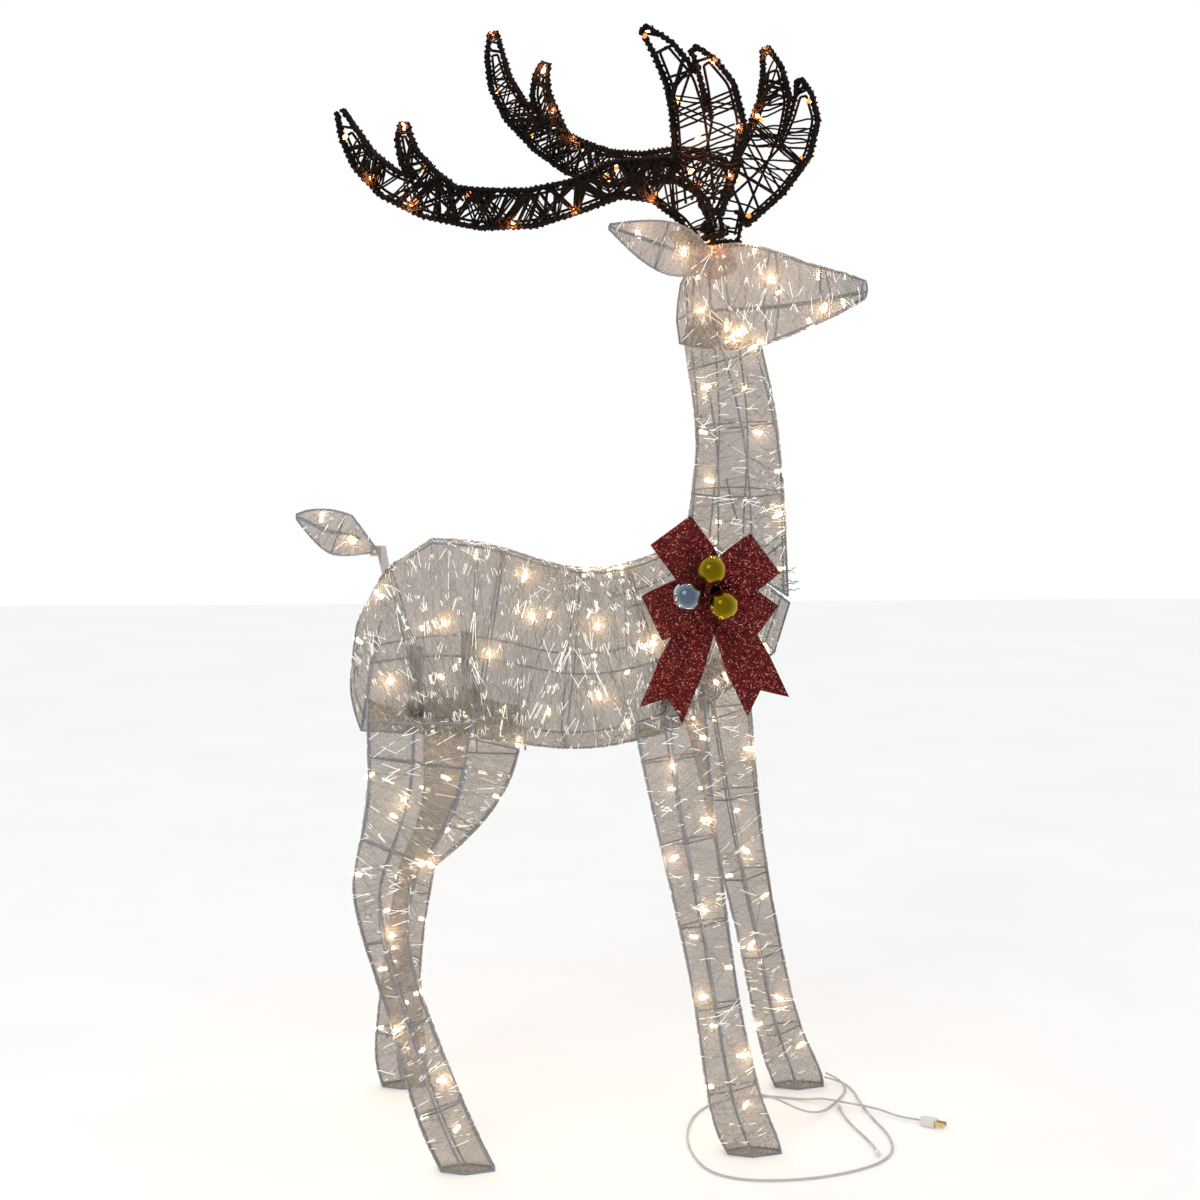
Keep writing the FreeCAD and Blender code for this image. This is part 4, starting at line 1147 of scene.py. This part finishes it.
def ribbon_streamer(node, seed):
    """A streamer with a swallow-tail end, gently waved."""
    centre = middle_of("bow_centre_tie")
    run, across, reach = ribbon_axes(node, centre)
    low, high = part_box(node)
    layer = 0.5 * (low.y + high.y)
    start = STREAMER_START
    rows = []
    for i in range(STREAMER_STEPS + 1):
        share = i / STREAMER_STEPS
        row = []
        for side in across_steps():
            end = reach - STREAMER_SHORT - STREAMER_NOTCH * (1 - abs(side))
            distance = start + (end - start) * share
            half = 0.5 * RIBBON_WIDTH * (0.55 + 0.39 * min(1.0, distance / (0.6 * reach)))
            point = centre + run * distance + across * (half * side)
            point.y = layer + STREAMER_WAVE * math.sin(seed + 42 * distance + 1.5 * side)
            row.append(point)
        rows.append(row)
    piece = grid_piece(node + "_ribbon", rows, GLITTER, RIBBON_THICKNESS)
    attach(piece, "deer_body")
    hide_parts(node)


KNOT_DEPTH = 0.028
KNOT_RADIUS = 0.0115
KNOT_ROWS = 22
KNOT_SIDES = 28


def add_knot():
    """The gathered middle of the bow."""
    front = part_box("bow_centre_tie")[0].y
    centre = middle_of("bow_centre_tie")
    profile = []
    for i in range(KNOT_ROWS + 1):
        share = i / KNOT_ROWS
        radius = KNOT_RADIUS * math.sin(math.pi * (0.12 + 0.76 * share)) ** 0.5
        profile.append((share * KNOT_DEPTH, radius * (1 + 0.06 * math.sin(share * 40))))
    build = Build()
    build.lathe((centre.x, front, centre.z), (0, 1, 0), profile, KNOT_SIDES)
    knot = build.piece("bow_knot", GLITTER)
    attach(knot, "deer_body")


def add_bow():
    """Four loops, two streamers and the knot; each seed gives a ribbon ripples of its own."""
    for seed, name in enumerate(("upper_left", "upper_right", "lower_left", "lower_right")):
        ribbon_loop("bow_%s_loop" % name, seed * 1.7)
    for seed, name in enumerate(("left", "right")):
        ribbon_streamer("bow_%s_streamer" % name, 0.6 + seed * 2.1)
    add_knot()


BALL_ROWS = 40
BALL_SIDES = 56
BALL_POLE = 0.0004
COLLAR_FROM = 0.985
COLLAR = [(0.992, 0.0034), (1.0, 0.0033)]


def add_ball(node, material):
    """A shiny ball with the collar that its cap is crimped on."""
    low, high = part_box(node)
    radius = (high.z - low.z) / 2
    profile = []
    for i in range(BALL_ROWS + 1):
        angle = math.pi * i / BALL_ROWS
        profile.append((-radius * math.cos(angle), max(BALL_POLE, radius * math.sin(angle))))
    profile = [row for row in profile if row[0] < radius * COLLAR_FROM]
    profile += [(radius * share, wide) for share, wide in COLLAR]
    build = Build()
    build.lathe(middle_of(node), (0, 1, 0), profile, BALL_SIDES)
    ball = build.piece(node + "_shell", material)
    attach(ball, "deer_body")
    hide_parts(node)


def add_balls():
    add_ball("gold_upper_ball", GOLD)
    add_ball("gold_lower_ball", GOLD)
    add_ball("silver_ball", SILVER)


# ---------------------------------------------------------------- neck seam

WIRE_ENDS = 5
WIRE_END_LENGTH = 0.024
WIRE_END_STEPS = 12
WIRE_END_TWIST = 1.3
WIRE_END_SWING = 0.0012
WIRE_END_RADII = (0.0011, 0.0004)
WIRE_END_SPREAD = 0.034
WIRE_END_RISE = 0.007


def add_wire_ends():
    """Twisted wire ends that stick out at the front of the seam between neck and body."""
    low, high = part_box("neck_thread_skin")
    first = Vector((high.x - 0.008, 0.5 * (low.y + high.y), low.z + 0.006))
    radii = np.linspace(*WIRE_END_RADII, WIRE_END_STEPS + 1)
    build = Build()
    for i in range(WIRE_ENDS):
        share = i / (WIRE_ENDS - 1) - 0.5
        start = first + Vector((0, WIRE_END_SPREAD * share, WIRE_END_RISE * i))
        way = Vector((1.0, 0.5 * share, random.uniform(-0.45, 0.35))).normalized()
        path = []
        for k in range(WIRE_END_STEPS + 1):
            turn = k * WIRE_END_TWIST
            swing = Vector((0, math.cos(turn), math.sin(turn))) * WIRE_END_SWING
            path.append(start + way * (WIRE_END_LENGTH * k / WIRE_END_STEPS) + swing)
        build.tube(path, radii, 5, False)
    ends = build.piece("seam_wire_ends", WIRE)
    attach(ends, "neck_and_head")


# ---------------------------------------------------------------- leads on the ground

# Routes are in metres from the point SHIFT. FLOOR is the line's height where a lead lies on the
# ground, and HUMP where it lies over another lead.
SHIFT = (0.016, -0.061)
FLOOR = 0.0016
HUMP = 0.0082
LEAD_DIAMETER = 0.003

LINK_ROUTE = [
    (0.219, -0.126, 0.076), (0.236, -0.108, 0.067), (0.258, -0.080, 0.048), (0.282, -0.044, 0.026),
    (0.306, -0.012, 0.009), (0.328, 0.018, FLOOR), (0.346, 0.048, FLOOR), (0.362, 0.078, FLOOR),
    (0.372, 0.106, 0.003), (0.365, 0.126, 0.011), (0.346, 0.131, 0.018),
]

SUPPLY_ROUTE = [
    (0.346, 0.139, 0.009), (0.362, 0.140, 0.0045), (0.377, 0.125, FLOOR), (0.382, 0.095, FLOOR),
    (0.382, 0.058, FLOOR), (0.385, 0.018, FLOOR), (0.390, -0.026, FLOOR), (0.398, -0.070, FLOOR),
    (0.399, -0.112, FLOOR), (0.392, -0.150, FLOOR), (0.373, -0.182, FLOOR), (0.345, -0.205, FLOOR),
    (0.309, -0.224, FLOOR), (0.267, -0.237, FLOOR), (0.223, -0.241, FLOOR), (0.182, -0.235, FLOOR),
    (0.152, -0.216, FLOOR), (0.136, -0.185, FLOOR), (0.128, -0.147, FLOOR), (0.125, -0.104, FLOOR),
    (0.128, -0.060, FLOOR), (0.136, -0.016, FLOOR), (0.151, 0.024, FLOOR), (0.175, 0.057, FLOOR),
    (0.207, 0.078, FLOOR), (0.243, 0.084, FLOOR), (0.278, 0.077, FLOOR), (0.306, 0.063, FLOOR + 0.0004),
    (0.328, 0.051, HUMP), (0.357, 0.032, HUMP), (0.374, 0.021, HUMP), (0.399, 0.003, HUMP),
    (0.423, -0.015, FLOOR + 0.002), (0.441, -0.030, 0.0046), (0.452, -0.038, 0.0052),
]

STRAND_ROUTE = [
    (0.349, 0.021, 0.0036), (0.350, 0.005, 0.0022), (0.353, -0.022, FLOOR), (0.358, -0.054, FLOOR),
    (0.365, -0.086, FLOOR), (0.370, -0.114, FLOOR), (0.372, -0.136, 0.0022), (0.371, -0.152, 0.0036),
]


def add_lead(name, route):
    """A thin lead on one smooth line through its route."""
    curve = bpy.data.curves.new(name, "CURVE")
    curve.dimensions = "3D"
    spline = curve.splines.new("NURBS")
    spline.points.add(len(route) - 1)
    shifted = [(x + SHIFT[0], y + SHIFT[1], z) for x, y, z in route]
    for point, place in zip(spline.points, shifted):
        point.co = (*place, 1.0)
    spline.order_u = 3
    spline.use_endpoint_u = True
    spline.resolution_u = 10
    curve.bevel_depth = LEAD_DIAMETER / 2
    curve.bevel_resolution = 4
    curve.use_fill_caps = True
    curve.materials.append(LEAD)
    lead = new_object(name + "_line", curve)
    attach(lead, "deer_body")
    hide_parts(name)


def add_leads():
    """The three leads, with the lengths that their routes were laid out for."""
    add_lead("leg_link_lead", LINK_ROUTE)
    add_lead("supply_lead", SUPPLY_ROUTE)
    add_lead("single_strand", STRAND_ROUTE)


# ---------------------------------------------------------------- CAD nodes that stay

def dress(material, *nodes):
    """Gives CAD nodes a material."""
    for node in nodes:
        mesh = frame["nodes"][node].data
        mesh.materials.clear()
        mesh.materials.append(material)


def dress_cad_nodes():
    """Materials for the CAD nodes that are shown as they are."""
    for node in frame["nodes"]:
        if node.endswith("_frame") or node.endswith("_socket"):
            dress(RATTAN if "antler" in node else WIRE, node)
    dress(WIRE, "antler_crossbar", "leg_clips")
    dress(VEIL, "tail_bracket")
    dress(STEEL, "tail_hinge_pin", "ball_caps")
    dress(GLITTER, "bow_centre_tie")
    dress(PLUG, "supply_plug", "lead_clips")
    dress(BRASS, "supply_plug_blades")


def main():
    add_camera()
    add_studio()
    dress_cad_nodes()
    add_leads()
    for section in SECTIONS:
        add_section(*section)
    for name in ("near", "far"):
        add_antler(name)
    add_wire_ends()
    add_bow()
    add_balls()


main()
